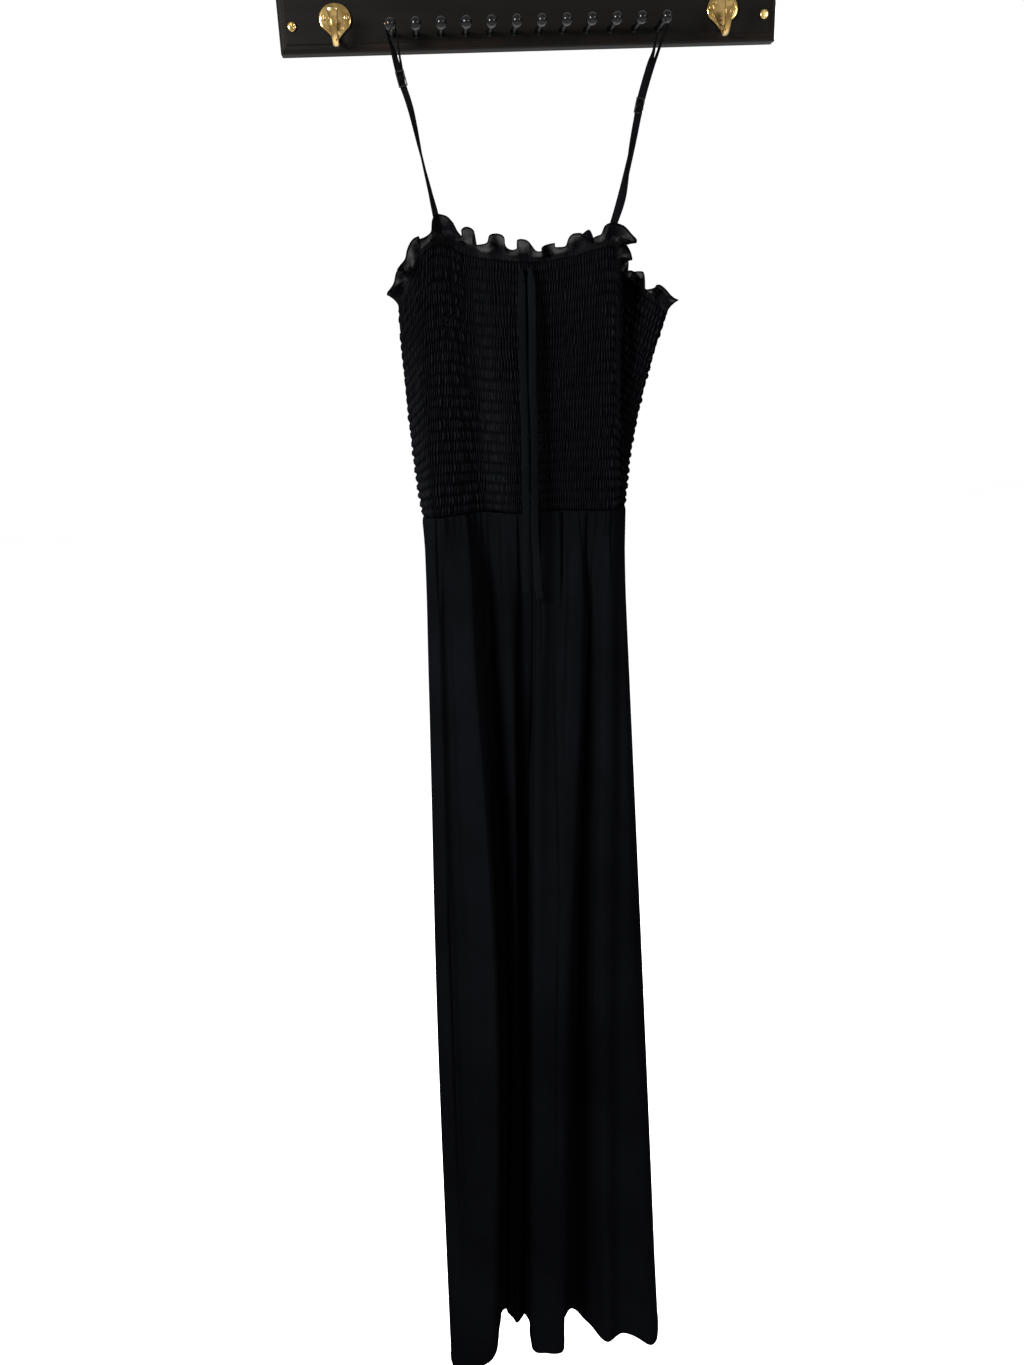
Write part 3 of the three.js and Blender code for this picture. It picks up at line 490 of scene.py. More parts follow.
def thin_crepe():
    made, strand = shaded("thin crepe", Specular_IOR_Level=0.0)
    place = strand.node("ShaderNodeTexCoord", output="Object")
    height = strand.node("ShaderNodeTexCoord", output="UV").axis(1)
    edge = height.between(0.93, 0.97)
    pebble = place.noise(900, detail=2)
    patch = place.noise(70, detail=3)
    cloth = patch.between(0.35, 0.75).colour((0.0010, 0.0010, 0.0013), (0.0030, 0.0030, 0.0032))
    return driven(
        made,
        Base_Color=edge.colour(cloth, (0.0008, 0.0008, 0.0010)),
        Roughness=pebble * 0.2 + 0.6,
        Alpha=1 - patch.between(0.3, 0.7) * height.between(0.25, 0.5) * (1 - edge) * 0.26,
        Normal=pebble.relief(0.0002),
    )


voile = thin_crepe()
front_frill = frill(
    "frill_front_cloth", "frill_front", BODICE_FRONT, BODICE_BACK, FRONT_WAVES, FRILL_FRONT, 21,
)
back_frill = frill(
    "frill_back_cloth", "frill_back", BODICE_BACK, BODICE_FRONT, BACK_WAVES, FRILL_BACK, 22,
)

# Trouser legs
# Four panels of crepe, gathered onto the waist seam and sewn at the sides, the centre and the inside
# legs. Each hem is turned up twice and stitched.

HIP_Z, CROTCH_Z, KNEE_Z, HEM_Z = -0.530, -0.730, -1.000, -1.500
HEM_STITCH = 0.014
LEG_CUT = 1.08
LEG_COLUMNS, LEG_ROWS = 201, 120
# at (share of the panel's waist seam), hip x, hip y, knee x, knee y, hem x, hem y, drop of the hem
LEG_FRONT_RIGHT = np.array([
    (0, -0.124, -0.045, -0.145, -0.047, -0.16, -0.05, 0.04),  # side seam
    (0.09, -0.114, -0.059, -0.131, -0.068, -0.149, -0.077, 0.034),  # side ridge
    (0.18, -0.105, -0.056, -0.117, -0.066, -0.132, -0.084, 0.024),  # crease
    (0.3, -0.092, -0.063, -0.098, -0.078, -0.115, -0.09, 0.008),  # face
    (0.4, -0.079, -0.066, -0.078, -0.085, -0.099, -0.084, -0.008),  # ridge
    (0.5, -0.072, -0.047, -0.074, -0.044, -0.092, -0.038, -0.004),  # ridge wall
    (0.58, -0.063, -0.035, -0.064, -0.023, -0.083, -0.019, 0),  # recess
    (0.78, -0.04, -0.051, -0.051, -0.046, -0.071, -0.04, 0.002),  # small ridge
    (0.93, -0.027, -0.044, -0.0395, -0.029, -0.06, -0.027, 0.001),  # inner recess
])
LEG_BACK_RIGHT = np.array([
    (0.08, -0.026, -0.025, -0.0395, -0.012, -0.06, -0.009, 0.001),  # inner ridge
    (0.28, -0.046, -0.031, -0.053, -0.024, -0.072, -0.022, 0.004),  # inner valley
    (0.48, -0.066, -0.02, -0.068, -0.01, -0.088, -0.006, 0.008),  # back ridge
    (0.68, -0.088, -0.035, -0.092, -0.044, -0.114, -0.048, 0.018),  # back valley
    (0.88, -0.111, -0.03, -0.124, -0.024, -0.142, -0.022, 0.03),  # side ridge
])
LEG_FRONT_LEFT = np.array([
    (0.05, -0.015, -0.056, -0.0335, -0.044, -0.0545, -0.042, 0),  # inner wall
    (0.12, -0.015, -0.069, -0.033, -0.082, -0.053, -0.08, 0),  # inner ridge
    (0.26, 0.007, -0.068, -0.013, -0.086, -0.035, -0.088, 0),  # face
    (0.4, 0.029, -0.07, 0.003, -0.084, -0.016, -0.086, 0.002),  # middle ridge
    (0.5, 0.033, -0.06, 0.01, -0.054, -0.01, -0.044, 0),  # ridge wall
    (0.58, 0.038, -0.056, 0.02, -0.04, 0.003, -0.028, 0),  # recess
    (0.66, 0.043, -0.062, 0.028, -0.058, 0.021, -0.048, 0),  # outer wall
    (0.75, 0.053, -0.069, 0.043, -0.075, 0.044, -0.078, 0.002),  # outer ridge
    (0.84, 0.062, -0.066, 0.062, -0.07, 0.065, -0.069, 0),  # dip
    (0.93, 0.072, -0.057, 0.0855, -0.066, 0.1, -0.082, 0.008),  # side ridge
])
LEG_BACK_LEFT = np.array([
    (0, 0.077, -0.045, 0.0945, -0.046, 0.116, -0.044, 0.012),  # side seam
    (0.15, 0.068, -0.03, 0.077, -0.024, 0.093, -0.017, 0.008),  # side ridge
    (0.36, 0.052, -0.037, 0.054, -0.04, 0.06, -0.038, 0.002),  # outer valley
    (0.58, 0.034, -0.025, 0.02, -0.013, 0.006, -0.01, 0),  # back ridge
    (0.8, 0.01, -0.038, -0.012, -0.046, -0.033, -0.05, 0),  # inner valley
    (0.94, -0.009, -0.03, -0.031, -0.013, -0.052, -0.01, 0),  # inner ridge
])
# x and depth of the seam between the legs at the hip, crotch, knee and hem
CENTRE_X = (-0.019, -0.025, -0.0365, -0.0575)
CENTRE_FRONT_Y = (-0.049, -0.030, -0.020, -0.018)
CENTRE_BACK_Y = (-0.026, -0.030, -0.020, -0.018)
CENTRE_WAIST_X = -0.016


def fall_line(stations, values, z):
    """Smooth values at heights z through those at stations, which are listed from the top down."""
    stations = np.array(stations)
    values = np.array(values, float)
    slope = np.empty_like(values)
    for i in range(len(stations)):
        a, b = max(0, i - 1), min(len(stations) - 1, i + 1)
        slope[i] = (values[b] - values[a]) / (stations[b] - stations[a])
    k = np.clip(np.searchsorted(-stations, -z, side="right") - 1, 0, len(stations) - 2)
    h = stations[k + 1] - stations[k]
    t = (z - stations[k]) / h
    extra = (None,) * (values.ndim - 1)
    h, t = h[(...,) + extra], t[(...,) + extra]
    return (
        values[k] * (2 * t**3 - 3 * t**2 + 1) + slope[k] * h * (t**3 - 2 * t**2 + t)
        + values[k + 1] * (3 * t**2 - 2 * t**3) + slope[k + 1] * h * (t**3 - t**2)
    )


def waist_seam(panel, other):
    """Places along one side's whole waist seam, with the share of its length at each."""
    end = np.ones(1)
    knots = with_neighbours(bodice_lines(panel, end), bodice_lines(other, end))
    line = smooth_curve(knots, np.linspace(1, knots.shape[1] - 2, 2000))[0]
    run = np.append(0, np.linalg.norm(np.diff(line, axis=0), axis=1).cumsum())
    return line, run / run[-1]


def seam_places(seam, shares):
    line, run = seam
    return np.column_stack([np.interp(shares, run, line[:, i]) for i in range(3)])


def centre_share(seam, low, high):
    line, run = seam
    inside = (run > low) & (run < high)
    return run[inside][np.abs(line[inside, 0] - CENTRE_WAIST_X).argmin()]


SEAM = {
    "front": waist_seam(BODICE_FRONT, BODICE_BACK),
    "back": waist_seam(BODICE_BACK, BODICE_FRONT),
}
SPLIT = {"front": centre_share(SEAM["front"], 0, 0.8), "back": centre_share(SEAM["back"], 0.2, 1)}


def fold_lines(table, side, low, high, z):
    """Places of a panel's folds at heights z, as (heights, folds, xyz)."""
    top = seam_places(SEAM[side], low + (high - low) * table[:, 0])
    stations = [WAIST_Z, HIP_Z, KNEE_Z, HEM_Z]
    x = fall_line(stations, [top[:, 0], table[:, 1], table[:, 3], table[:, 5]], z)
    y = fall_line(stations, [top[:, 1], table[:, 2], table[:, 4], table[:, 6]], z)
    fall = np.clip((z - WAIST_Z) / (HEM_Z - WAIST_Z), 0, 1)[:, None]
    return np.stack([x, y, z[:, None] - table[:, 7] * fall**2], axis=-1)


def centre_line(side, z):
    top = seam_places(SEAM[side], [SPLIT[side]])[0]
    depth = CENTRE_FRONT_Y if side == "front" else CENTRE_BACK_Y
    stations = [WAIST_Z, HIP_Z, CROTCH_Z, KNEE_Z, HEM_Z]
    x = fall_line(stations, [top[0], *CENTRE_X], z)
    y = fall_line(stations, [top[1], *depth], z)
    return np.stack([x, y, z], axis=-1)[:, None]


def leg_knots(part, z):
    """The folds of one panel with the next fold past each seam, as (heights, folds, xyz)."""
    front, back = SPLIT["front"], SPLIT["back"]
    rf = fold_lines(LEG_FRONT_RIGHT, "front", 0, front, z)
    rb = fold_lines(LEG_BACK_RIGHT, "back", back, 1, z)
    lf = fold_lines(LEG_FRONT_LEFT, "front", front, 1, z)
    lb = fold_lines(LEG_BACK_LEFT, "back", 0, back, z)
    below = (z < CROTCH_Z)[:, None, None]
    turned = np.clip((CROTCH_Z + 0.090 - z) / 0.090, 0, 1)[:, None, None]
    wider = np.clip((CROTCH_Z + 0.060 - z) / 0.260, 0, 1)[:, None, None]
    parted = 0.0004 * (1 + wider) * (0.5, 0, 0)
    # Below the crotch the left leg's inner edge laps over the right's.
    lapped = parted * (1 - turned) + turned * (-0.0024, -0.0028, 0)
    centre_front = centre_line("front", z)
    centre_back = np.where(below, centre_front, centre_line("back", z))

    def blend(a, b):
        return a * (1 - turned) + b * turned

    if part == "front_right":
        return [rb[:, -1:], rf, centre_front - parted, blend(lf[:, :1], rb[:, :1])]
    if part == "back_right":
        return [blend(lb[:, -1:], rf[:, -1:]), centre_back - parted, rb, rf[:, :2]]
    if part == "front_left":
        return [blend(rf[:, -1:], lb[:, -1:]), centre_front + lapped, lf, lb[:, :2]]
    return [lf[:, -1:], lb, centre_back + lapped, blend(rb[:, :1], lf[:, :1])]


# Pleats and creases pressed into each panel: x at the waist, the top and foot of the crease below
# the waist, its lean, the width of its fall and its depth. It stands up sharply on its left side,
# or on its right where the width is below 0.
CREASES = {
    "front_left": [
        (0.0385, 0, 0.16, -0.035, 0.011, 0.0024), (0.0125, 0, 0.11, -0.04, -0.011, 0.0022),
        (-0.0085, 0, 0.15, -0.02, 0.008, 0.0020), (0.021, 0.01, 0.30, -0.05, 0.016, 0.0014),
        (0.058, 0, 0.07, 0.01, -0.008, 0.0013), (0.004, 0.14, 0.55, -0.012, 0.012, 0.0015),
        (0.047, 0.30, 0.75, -0.03, -0.020, 0.0014), (0.012, 0.45, 0.95, -0.035, 0.014, 0.0012),
    ],
    "front_right": [
        (-0.078, 0, 0.14, 0.01, -0.009, 0.0022), (-0.108, 0, 0.10, -0.03, 0.009, 0.0016),
        (-0.046, 0, 0.12, -0.02, 0.008, 0.0016), (-0.058, 0, 0.20, -0.03, -0.010, 0.0014),
        (-0.030, 0, 0.16, -0.02, -0.007, 0.0016), (-0.098, 0.10, 0.50, -0.02, 0.014, 0.0012),
        (-0.110, 0.40, 0.90, -0.03, -0.018, 0.0012),
    ],
    "back_left": [
        (0.050, 0, 0.15, -0.03, 0.010, 0.0022), (0.022, 0, 0.12, 0.02, -0.010, 0.0020),
        (0.002, 0, 0.20, -0.02, 0.009, 0.0018), (0.036, 0.10, 0.48, -0.02, 0.015, 0.0014),
        (0.010, 0.30, 0.85, -0.03, -0.016, 0.0013),
    ],
    "back_right": [
        (-0.040, 0, 0.13, -0.01, 0.009, 0.0020), (-0.066, 0, 0.17, -0.02, -0.010, 0.0020),
        (-0.094, 0, 0.11, -0.02, 0.009, 0.0018), (-0.055, 0.12, 0.46, -0.03, 0.014, 0.0014),
        (-0.085, 0.35, 0.88, -0.02, -0.016, 0.0012),
    ],
}


def leg(part, seed):
    down = np.interp(np.arange(LEG_ROWS), (0, 44, 103, LEG_ROWS - 1), (0.0003, 0.12, 1.046, WAIST_Z - HEM_Z))
    z = WAIST_Z - down[::-1]
    knots = np.concatenate(leg_knots(part, z), axis=1)
    places = smooth_curve(knots, even_columns(knots, LEG_COLUMNS))
    out = outward(places)
    run = np.linalg.norm(np.diff(places, axis=1), axis=2).mean(0).cumsum()
    across = np.append(0, run)
    down = (WAIST_Z - z)[:, None]
    height = np.zeros(places.shape[:2])
    for x, top, foot, lean, wide, deep in CREASES[part]:
        line = (places[..., 0] - x - lean * down) / wide
        rise = np.clip(line / 0.12, 0, 1) * np.clip(1 - (line - 0.12) / 0.88, 0, 1)
        rise = rise - 1.3 * np.exp(-(((line + 0.08) * wide / 0.0014) ** 2))
        fade = np.clip((down - top) / 0.03 + (top == 0), 0, 1)
        fade = fade * np.clip((foot - down) / (0.5 * (foot - top)), 0, 1)
        height += deep * rise * fade * np.clip(down / 0.003, 0.4, 1)
    chance = np.random.default_rng(seed)
    # Gathers at the waist seam, which fade into the soft folds.
    spot = 0.004
    while spot < across[-1] - 0.003:
        wide, long, deep = chance.uniform((0.0016, 0.03, 0.0008), (0.0034, 0.13, 0.0024))
        lean = chance.uniform(-0.02, 0.02)
        line = (across[None] - spot - lean * down) / (wide * (1 + 3 * down / long))
        fade = np.clip(1 - down / long, 0, 1) ** 1.5 * np.clip(down / 0.004, 0.35, 1)
        height += deep * np.exp(-(line**2)) * fade
        spot += chance.uniform(0.006, 0.013)
    # Long soft waves in the hanging cloth.
    for i in range(5):
        lean, wide = chance.uniform((-0.03, 0.018), (0.03, 0.05))
        start = chance.uniform(0, 2 * np.pi)
        soft = np.sin(2 * np.pi * (across[None] - lean * down) / wide + start)
        height += 0.0005 * soft * np.clip(down / 0.15, 0, 1)
    seam = np.minimum(across, across[-1] - across)[None]
    height = height * np.clip(seam / 0.004, 0, 1) - 0.0005 * np.exp(-((seam / 0.0012) ** 2))
    # The double-turned hem stands proud below its stitch line.
    rise = (z - HEM_Z)[:, None]
    stitch = np.exp(-(((rise - HEM_STITCH) / 0.0012) ** 2))
    height = height + 0.0004 * (rise < HEM_STITCH - 0.0005) - 0.0004 * stitch
    places = places + out * height[..., None]
    piece = formed("leg_" + part + "_cloth", places)
    walled(piece, CLOTH)
    return dressed(piece, crepe_black, "crepe", "leg_" + part)


# panel, seed of its gathers, width of its cut
LEGS = [
    ("front_right", 31, 0.30), ("front_left", 32, 0.36), ("back_left", 33, 0.26), ("back_right", 34, 0.24),
]
for part, seed, wide in LEGS:
    leg(part, seed)
    wide * LEG_CUT * 0.8

# Straps
# Flat woven ribbons that run from inside the frill over an outer peg and down to the back edge,
# turning as they hang.

STRAP_WIDE, STRAP_THICK = 0.0055, 0.0010
# x, y, z, turn of the ribbon's width in degrees
STRAP_RIGHT = np.array([
    (-0.0895, -0.0556, -0.2, 0),
    (-0.091, -0.0554, -0.176, 0),
    (-0.0955, -0.0545, -0.15, 55),
    (-0.1015, -0.053, -0.12, 80),
    (-0.109, -0.051, -0.08, 25),
    (-0.1156, -0.0495, -0.058, 0),
    (-0.12, -0.046, -0.038, 45),
    (-0.1246, -0.043, -0.019, 90),
    (-0.1212, -0.043, -0.0156, 90),
    (-0.1178, -0.043, -0.019, 90),
    (-0.115, -0.0405, -0.042, 100),
    (-0.1126, -0.0385, -0.063, 110),
    (-0.1052, -0.036, -0.099, 95),
    (-0.0976, -0.033, -0.137, 100),
    (-0.0905, -0.0306, -0.173, 160),
    (-0.086, -0.0296, -0.203, 180),
])
STRAP_LEFT = np.array([
    (0.0565, -0.0618, -0.206, 0),
    (0.06, -0.0608, -0.19, 0),
    (0.0665, -0.059, -0.176, 0),
    (0.0735, -0.0567, -0.158, 10),
    (0.08, -0.054, -0.125, 60),
    (0.0865, -0.051, -0.098, 6),
    (0.0905, -0.05, -0.079, 0),
    (0.0985, -0.0475, -0.055, 15),
    (0.1026, -0.045, -0.044, 60),
    (0.1088, -0.043, -0.019, 90),
    (0.1122, -0.043, -0.0156, 90),
    (0.1156, -0.043, -0.019, 90),
    (0.1086, -0.041, -0.039, 100),
    (0.102, -0.0398, -0.056, 110),
    (0.0945, -0.038, -0.079, 120),
    (0.0856, -0.0346, -0.117, 130),
    (0.075, -0.0296, -0.158, 160),
    (0.06, -0.0246, -0.204, 180),
])


def ribbon_frame(route, steps):
    """Centre, width direction and face direction at places along a ribbon's route."""
    places = np.linspace(0, len(route) - 1, steps)
    centre = route_through(route[:, :3], steps)
    along = unit(np.gradient(centre, axis=0))
    turn = np.radians(np.interp(places, np.arange(len(route)), route[:, 3]))
    wide = np.column_stack([np.cos(turn), np.sin(turn), 0 * turn])
    wide = unit(wide - along * (wide * along).sum(1, keepdims=True))
    return centre, wide, np.cross(along, wide)


def strap(name, node, route, bar_z):
    centre, wide, face = ribbon_frame(route, 400)
    # The front run bends out over the slider's middle bar, which is at the height bar_z.
    front = np.linspace(0, 1, 400) < 0.5
    centre[:, 1] -= 0.0039 * np.exp(-(((centre[:, 2] - bar_z) / 0.0023) ** 2)) * front
    across = np.linspace(-1, 1, 9)
    bulge = 0.00012 * (np.abs(across) > 0.8)
    places = centre[:, None] + wide[:, None] * (across * STRAP_WIDE / 2)[None, :, None]
    places = places + face[:, None] * bulge[None, :, None]
    piece = formed(name, places)
    walled(piece, STRAP_THICK, offset=0)
    return dressed(piece, strap_weave, "strap_ribbon", node)


def woven_ribbon():
    made, strand = shaded("strap weave", Specular_IOR_Level=0.0)
    weave = strand.node("ShaderNodeTexCoord", output="UV")
    long = (weave.axis(1) * 2 * math.pi * 420).maths("SINE")
    cross = (weave.axis(0) * 2 * math.pi * 12).maths("SINE")
    ribs = long * 0.5 + cross * 0.35
    place = strand.node("ShaderNodeTexCoord", output="Object")
    fuzz = place.noise(700, detail=2)
    return driven(
        made,
        Base_Color=fuzz.colour((0.0009, 0.0009, 0.0011), (0.0026, 0.0026, 0.0030)),
        Roughness=fuzz * 0.25 + 0.4,
        Normal=(ribs + fuzz * 0.6).relief(0.00012),
    )


strap_weave = woven_ribbon()
strap("strap_right_ribbon", "strap_right", STRAP_RIGHT, -0.059)
strap("strap_left_ribbon", "strap_left", STRAP_LEFT, -0.085)

# Sliders
# Moulded black loops that set the straps' length. Each strap comes up through the lower slot, over
# the middle bar and down through the upper slot.

SLIDER_WIDE, SLIDER_TALL, SLIDER_THICK, SLIDER_BAR = 0.0078, 0.0124, 0.0014, 0.001


def slider(name, node, place, lean):
    bm = bmesh.new()
    bmesh.ops.create_grid(bm, x_segments=3, y_segments=5, size=1)
    half_wide, half_tall, half_bar = SLIDER_WIDE / 2, SLIDER_TALL / 2, SLIDER_BAR / 2
    columns = (-half_wide, -half_wide + SLIDER_BAR, half_wide - SLIDER_BAR, half_wide)
    upper = (half_bar, half_tall - SLIDER_BAR, half_tall)
    rows = (-upper[2], -upper[1], -upper[0], *upper)
    for vert, (z, x) in zip(bm.verts, ((z, x) for z in rows for x in columns)):
        vert.co = x, 0, z
    middles = {f: f.calc_center_median() for f in bm.faces}
    slots = [f for f, m in middles.items() if abs(m.x) < half_bar and half_bar < abs(m.z) < upper[1]]
    bmesh.ops.delete(bm, geom=slots, context="FACES")
    bmesh.ops.solidify(bm, geom=bm.faces, thickness=SLIDER_THICK)
    bmesh.ops.recalc_face_normals(bm, faces=bm.faces)
    sharp = [e for e in bm.edges if e.calc_face_angle(0) > 0.5]
    bmesh.ops.bevel(
        bm, geom=sharp, offset=0.00035, segments=3, profile=0.5,
        affect="EDGES", material=-1, clamp_overlap=True,
    )
    middle = sum(v.co.y for v in bm.verts) / len(bm.verts)
    bmesh.ops.translate(bm, verts=bm.verts, vec=(0, -middle - SLIDER_THICK / 2, 0))
    leaning = Matrix.Rotation(math.radians(lean), 3, "Y")
    bmesh.ops.rotate(bm, verts=bm.verts, cent=(0, 0, 0), matrix=leaning)
    bmesh.ops.translate(bm, verts=bm.verts, vec=place)
    dressed(shaped(name, bm), slider_black, "slider_plastic", node)


def moulded_plastic():
    made, strand = shaded("slider plastic", Specular_IOR_Level=0.15)
    place = strand.node("ShaderNodeTexCoord", output="Object")
    skin = place.noise(900, detail=3)
    rub = place.noise(160, detail=3)
    return driven(
        made,
        Base_Color=rub.colour((0.0012, 0.0012, 0.0014), (0.0040, 0.0040, 0.0042)),
        Roughness=rub * 0.25 + 0.16,
        Normal=skin.relief(0.00005),
    )


slider_black = moulded_plastic()
slider("slider_right_loop", "slider_right", (-0.1148, -0.0513, -0.059), -13)
slider("slider_left_loop", "slider_left", (0.0892, -0.0519, -0.085), 13)

# Rack board
# One length of wood, moulded along all four front edges, stained black and rubbed brown where
# hands and hangers have touched it.

BOARD_LONG, BOARD_TALL = 0.437, 0.060
# depths of the plain edge, of the moulding in front of it and of the step up to the field
BOARD_FLAT, MOULD_DEEP, FIELD_STEP = 0.0112, 0.0050, 0.0018
MOULD_WIDE, MOULD_STEPS = 0.0041, 6

bm = bmesh.new()
bmesh.ops.create_cube(bm, size=1)
bmesh.ops.scale(bm, verts=bm.verts, vec=(BOARD_LONG, BOARD_FLAT, BOARD_TALL))
bmesh.ops.translate(bm, verts=bm.verts, vec=(0, -BOARD_FLAT / 2, 0))
face = min(bm.faces, key=lambda f: f.calc_center_median().y)
quarter = [math.pi / 2 * step / MOULD_STEPS for step in range(MOULD_STEPS + 1)]
for a, b in zip(quarter, quarter[1:]):
    wide = MOULD_WIDE * (math.cos(a) - math.cos(b))
    deep = MOULD_DEEP * (math.sin(b) - math.sin(a))
    bmesh.ops.inset_region(bm, faces=[face], thickness=wide, depth=deep, use_even_offset=True)
# The flat shoulder, then the step up to the field.
bmesh.ops.inset_region(bm, faces=[face], thickness=0.0014, depth=0, use_even_offset=True)
bmesh.ops.inset_region(bm, faces=[face], thickness=0.0008, depth=FIELD_STEP, use_even_offset=True)
sharp = [e for e in bm.edges if e.calc_face_angle(0) > 0.6]
bmesh.ops.bevel(
    bm, geom=sharp, offset=0.0004, segments=2, profile=0.5,
    affect="EDGES", material=-1, clamp_overlap=True,
)
board = shaped("rack_board_wood", bm, smooth=False)


def stained_wood():
    made, strand = shaded("black stained wood", Specular_IOR_Level=0.02)
    place = strand.node("ShaderNodeTexCoord", output="Object")
    grain = place.noise(60, (0.06, 1, 1), detail=6, roughness=0.6)
    pore = place.noise(500, (0.03, 1, 1), detail=2)
    rub = place.noise(22, (0.35, 1, 1), detail=5, roughness=0.65)
    # How far a place is from the nearest edge of the board.
    from_end = BOARD_LONG / 2 - place.axis(0).maths("ABSOLUTE")
    inset = from_end.maths("MINIMUM", BOARD_TALL / 2 - place.axis(2).maths("ABSOLUTE"))
    rim = 1 - inset.between(0.0045, 0.0075)
    groove = inset.between(0.0042, 0.0052) * (1 - inset.between(0.0056, 0.0068))
    worn = rim * rub.between(0.42, 0.68)
    field = rub.between(0.6, 0.85) * 0.25
    stain = grain.colour((0.0012, 0.0011, 0.0010), (0.0028, 0.0026, 0.0023))
    brown = grain.colour((0.0035, 0.0018, 0.0012), (0.010, 0.0052, 0.0034))
    wear = (worn * 0.55 + field * 0.3 + groove * rub * 0.35).maths("MINIMUM", 1.0)
    return driven(
        made,
        Base_Color=wear.colour(stain, brown),
        Roughness=grain * 0.2 + rub * 0.15 + 0.3,
        Normal=pore.relief(0.0001, grain.relief(0.00025)),
    )


dressed(board, stained_wood(), "board_wood", "rack_board")

# Pegs
# Twelve dark steel pins screwed into the board, each with a drop-shaped knob of glossy black enamel.
# The two outer ones carry the straps.

PEGS = 12
FIRST_PEG_X, LAST_PEG_X, PEG_Z = -0.1212, 0.1122, -0.019
# 0.3 mm in front of the board's face
FACE_Y = -0.0183
PEG_NECK, PEG_LONG, KNOB_RADIUS = 0.028, 0.042, 0.0049


def turned(name, profile, x, z, y=FACE_Y, steps=28):
    """A piece turned about an axis that points out of the board; profile is (radius, height)."""
    bm = bmesh.new()
    verts = [bm.verts.new((radius, -height, 0)) for radius, height in profile]
    edges = [bm.edges.new(pair) for pair in zip(verts, verts[1:])]
    bmesh.ops.spin(
        bm, geom=verts + edges, cent=(0, 0, 0), axis=(0, 1, 0), angle=2 * math.pi, steps=steps,
        use_merge=True,
    )
    bmesh.ops.remove_doubles(bm, verts=bm.verts, dist=1e-6)
    bmesh.ops.recalc_face_normals(bm, faces=bm.faces)
    bmesh.ops.translate(bm, verts=bm.verts, vec=(x, y, z))
    return shaped(name, bm)


def pegs_look():
    made, strand = shaded("peg enamel", Specular_IOR_Level=0.1)
    place = strand.node("ShaderNodeTexCoord", output="Object")
    neck_y = FACE_Y - PEG_NECK
    knob = 1 - place.axis(1).between(neck_y - 0.0012, neck_y - 0.0004)
    flow = place.noise(120, detail=3)
    speck = place.noise(1200, detail=1)
    steel = flow.colour((0.0015, 0.0015, 0.0015), (0.006, 0.006, 0.006))
    enamel = flow.colour((0.001, 0.001, 0.0012), (0.003, 0.003, 0.0033))
    return driven(
        made,
        Base_Color=knob.colour(steel, enamel),
        Metallic=1 - knob,
        Roughness=(1 - knob) * 0.22 + flow * 0.1 + 0.06,
        Normal=speck.relief(0.00002, flow.relief(0.0001)),
    )


enamel = pegs_look()
stem = [
    (0, 0), (0.0030, 0), (0.0030, 0.0006), (0.0023, 0.0011), (0.0021, 0.002),
    (0.0019, PEG_NECK - 0.001), (0.0020, PEG_NECK),
]
knob = [
    (
        KNOB_RADIUS * math.sin(math.pi * share ** 1.12) ** 0.9,
        PEG_NECK + (PEG_LONG - PEG_NECK) * (1 - math.cos(math.pi * share)) / 2,
    )
    for share in np.linspace(0.14, 1, 18)[:-1]
]
for i in range(PEGS):
    x = FIRST_PEG_X + (LAST_PEG_X - FIRST_PEG_X) * i / (PEGS - 1)
    number = f"{i + 1:02d}"
    peg = turned(f"peg_{number}_turned", stem + knob + [(0, PEG_LONG)], x, PEG_Z)
    dressed(peg, enamel, "peg_enamel", f"peg_{number}")

# Screws
# Domed brass screws with crossed slots: two that hold the board, and two small ones in each hook.
# They are turned and driven in by hand, so no two crosses stand alike.

SCREW_RADIUS = 0.0038
SCREW_RIM, SCREW_DOME, SLOT_DEEP = 0.0009, 0.0013, 0.0008
SCREW_TALL = SCREW_RIM + SCREW_DOME
HOOK_X = 0.1688
# node, x, z, width and height beside a board screw's, y from the board's face
SCREWS = [("screw_right", -0.2062, -0.0106, 1, 1, 0), ("screw_left", 0.2062, -0.0106, 1, 1, 0)]
for side, x in (("right", -HOOK_X), ("left", HOOK_X)):
    for end, dx in (("outer", 0.010), ("inner", -0.010)):
        place_x = x + math.copysign(dx, x * dx)
        SCREWS.append((f"hook_{side}_screw_{end}", place_x, -0.0049, 0.62, 0.5, -0.0027))


def brass_look(name, tarnish_and_reflection):
    made, strand = shaded(name)
    place = strand.node("ShaderNodeTexCoord", output="Object")
    # Painted reflections: the brass is painted darker in cloudy patches, as the reflections of a dark
    # surrounding, and darker still in spots, which are partly tarnish, duller and rougher, and partly
    # painted reflection.
    cloud = place.noise(90, detail=4, roughness=0.6)
    fine = place.noise(700, (1, 1, 0.15), detail=3)
    spot = place.noise(260, detail=2).between(0.62, 0.72)
    bright = cloud.between(0.3, 0.7).colour((0.17, 0.105, 0.03), (0.36, 0.25, 0.10))
    return driven(
        made,
        Base_Color=(spot * tarnish_and_reflection).colour(bright, (0.10, 0.055, 0.02)),
        Metallic=1 - spot * 0.3,
        Roughness=cloud * 0.12 + fine * 0.06 + 0.08 + spot * 0.2,
        Normal=fine.relief(0.00003),
    )


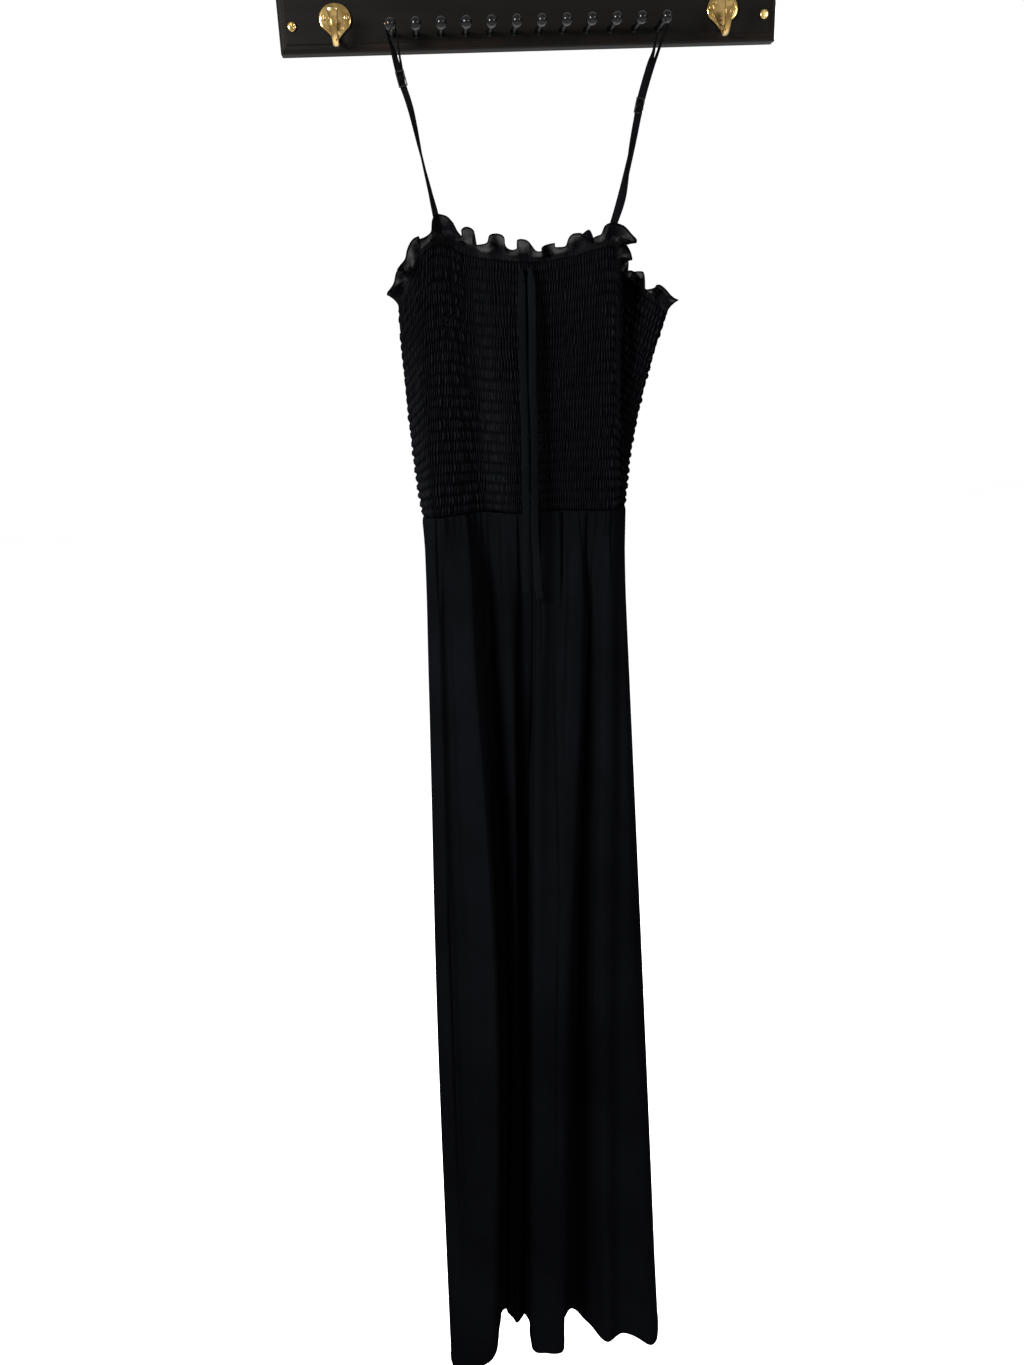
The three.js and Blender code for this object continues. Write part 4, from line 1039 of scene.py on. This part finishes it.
# The screws carry more of the dark spots, partly tarnish and partly painted reflection, than the hooks.
screw_brass = brass_look("screw brass", 0.6)
for number, (node, x, z, wide, tall, y) in enumerate(SCREWS):
    radius = SCREW_RADIUS * wide
    dome = [(0, 0), (radius, 0), (radius, SCREW_RIM * tall)]
    dome += [
        (radius * math.cos(a) ** 0.7, (SCREW_RIM + SCREW_DOME * math.sin(a)) * tall)
        for a in np.linspace(0.12, math.pi / 2, 22)[:-1]
    ]
    screw = turned(node + "_head", dome + [(0, SCREW_TALL * tall)], x, z, FACE_Y + y, steps=72)
    turn = 0.5 + 1.3 * number
    for vert in screw.data.vertices:
        dx, dz = vert.co.x - x, vert.co.z - z
        a = abs(dx * math.cos(turn) + dz * math.sin(turn))
        b = abs(dz * math.cos(turn) - dx * math.sin(turn))
        arm = min(a, b) < 0.00046 * wide ** 0.5 and max(a, b) < 0.0023 * wide
        if arm and vert.co.y < FACE_Y + y - SLOT_DEEP * tall:
            vert.co.y += SLOT_DEEP * tall
    dressed(screw, screw_brass, "brass", node)

# Hooks
# Two cast brass hooks, each a pear-shaped domed plate whose point runs out into a finger that
# curls up to a two-lobed tip.

HOOK_Z = -0.0064
# x and z of half the plate's outline, from its crown to its point
PLATE = np.array([
    (0, 0.0120), (0.0035, 0.0116), (0.0070, 0.0104), (0.0100, 0.0080), (0.0122, 0.0046),
    (0.0130, 0.0012), (0.0128, -0.0022), (0.0114, -0.0052), (0.0092, -0.0070), (0.0066, -0.0092),
    (0.0040, -0.0118), (0.0018, -0.0148), (0, -0.0175),
])
# y, z, half width, half thickness of the finger, from the plate to the tip
FINGER = np.array([
    (-0.0202, -0.0190, 0.0026, 0.0009), (-0.0240, -0.0246, 0.0026, 0.0014),
    (-0.0300, -0.0272, 0.0027, 0.0016), (-0.0365, -0.0242, 0.0028, 0.0016),
    (-0.0405, -0.0170, 0.0031, 0.0015), (-0.0422, -0.0098, 0.0038, 0.0016),
    (-0.0442, -0.0052, 0.0041, 0.0018), (-0.0454, -0.0034, 0.0022, 0.0010),
])
hook_brass = brass_look("hook brass", 0.35)


def hook(side, x):
    half = route_through(PLATE, 49)
    outline = np.vstack([half, half[-2::-1] * (-1, 1)])
    # share of the outline and height over the board, from the back rim over the dome
    rings = [(1, 0), (1.05, 0.0004), (1.06, 0.0011), (1.03, 0.0017), (0.97, 0.0020)]
    rings += [(share, 0.0024 - 0.0004 * share ** 2) for share in np.linspace(0.9, 0.02, 12)]
    plate_rows = []
    for share, height in rings:
        x_places, z_places = outline[:, 0] * share + x, outline[:, 1] * share + HOOK_Z
        depth = np.full(len(outline), FACE_Y - height)
        plate_rows.append(np.column_stack([x_places, depth, z_places]))
    plate = formed(f"hook_{side}_plate", np.array(plate_rows), joined=True)
    curve = route_through(FINGER, 60)
    centre = np.column_stack([np.full(60, x), curve[:, 0], curve[:, 1]])
    along = unit(np.gradient(centre, axis=0))
    thick = np.cross(along, (1, 0, 0))
    angle = np.linspace(0, 2 * np.pi, 25)
    share = np.linspace(0, 1, 60)[:, None]
    # The tip spreads into two lobes with a dip between them.
    lobes = np.clip((share - 0.82) / 0.12, 0, 1) * np.abs(np.cos(angle)) ** 2 * 0.35
    wide = curve[:, 2:3] * np.cos(angle) * (1 + lobes)
    deep = curve[:, 3:4] * np.sin(angle)
    places = centre[:, None] + wide[..., None] * (1, 0, 0) + thick[:, None] * deep[..., None]
    finger = formed(f"hook_{side}_finger", places, joined=True)
    finger.parent = plate
    finger.data.materials.append(hook_brass)
    dressed(plate, hook_brass, "brass", f"hook_{side}")


hook("right", -HOOK_X)
hook("left", HOOK_X)

# Floor
# Pale and plain, well under the hems.

FLOOR_Z = -1.75

bm = bmesh.new()
bmesh.ops.create_grid(bm, x_segments=1, y_segments=1, size=8)
bmesh.ops.translate(bm, verts=bm.verts, vec=(0, 0, FLOOR_Z))
floor = shaped("floor", bm, smooth=False)
pale, strand = shaded("pale floor", Specular_IOR_Level=0.0)
grain = strand.node("ShaderNodeTexCoord", output="Object").noise(3, detail=4)
tint = grain.colour((0.97, 0.97, 0.97), (1.0, 1.0, 1.0))
floor.data.materials.append(driven(pale, Base_Color=tint, Roughness=grain * 0.1 + 0.7))
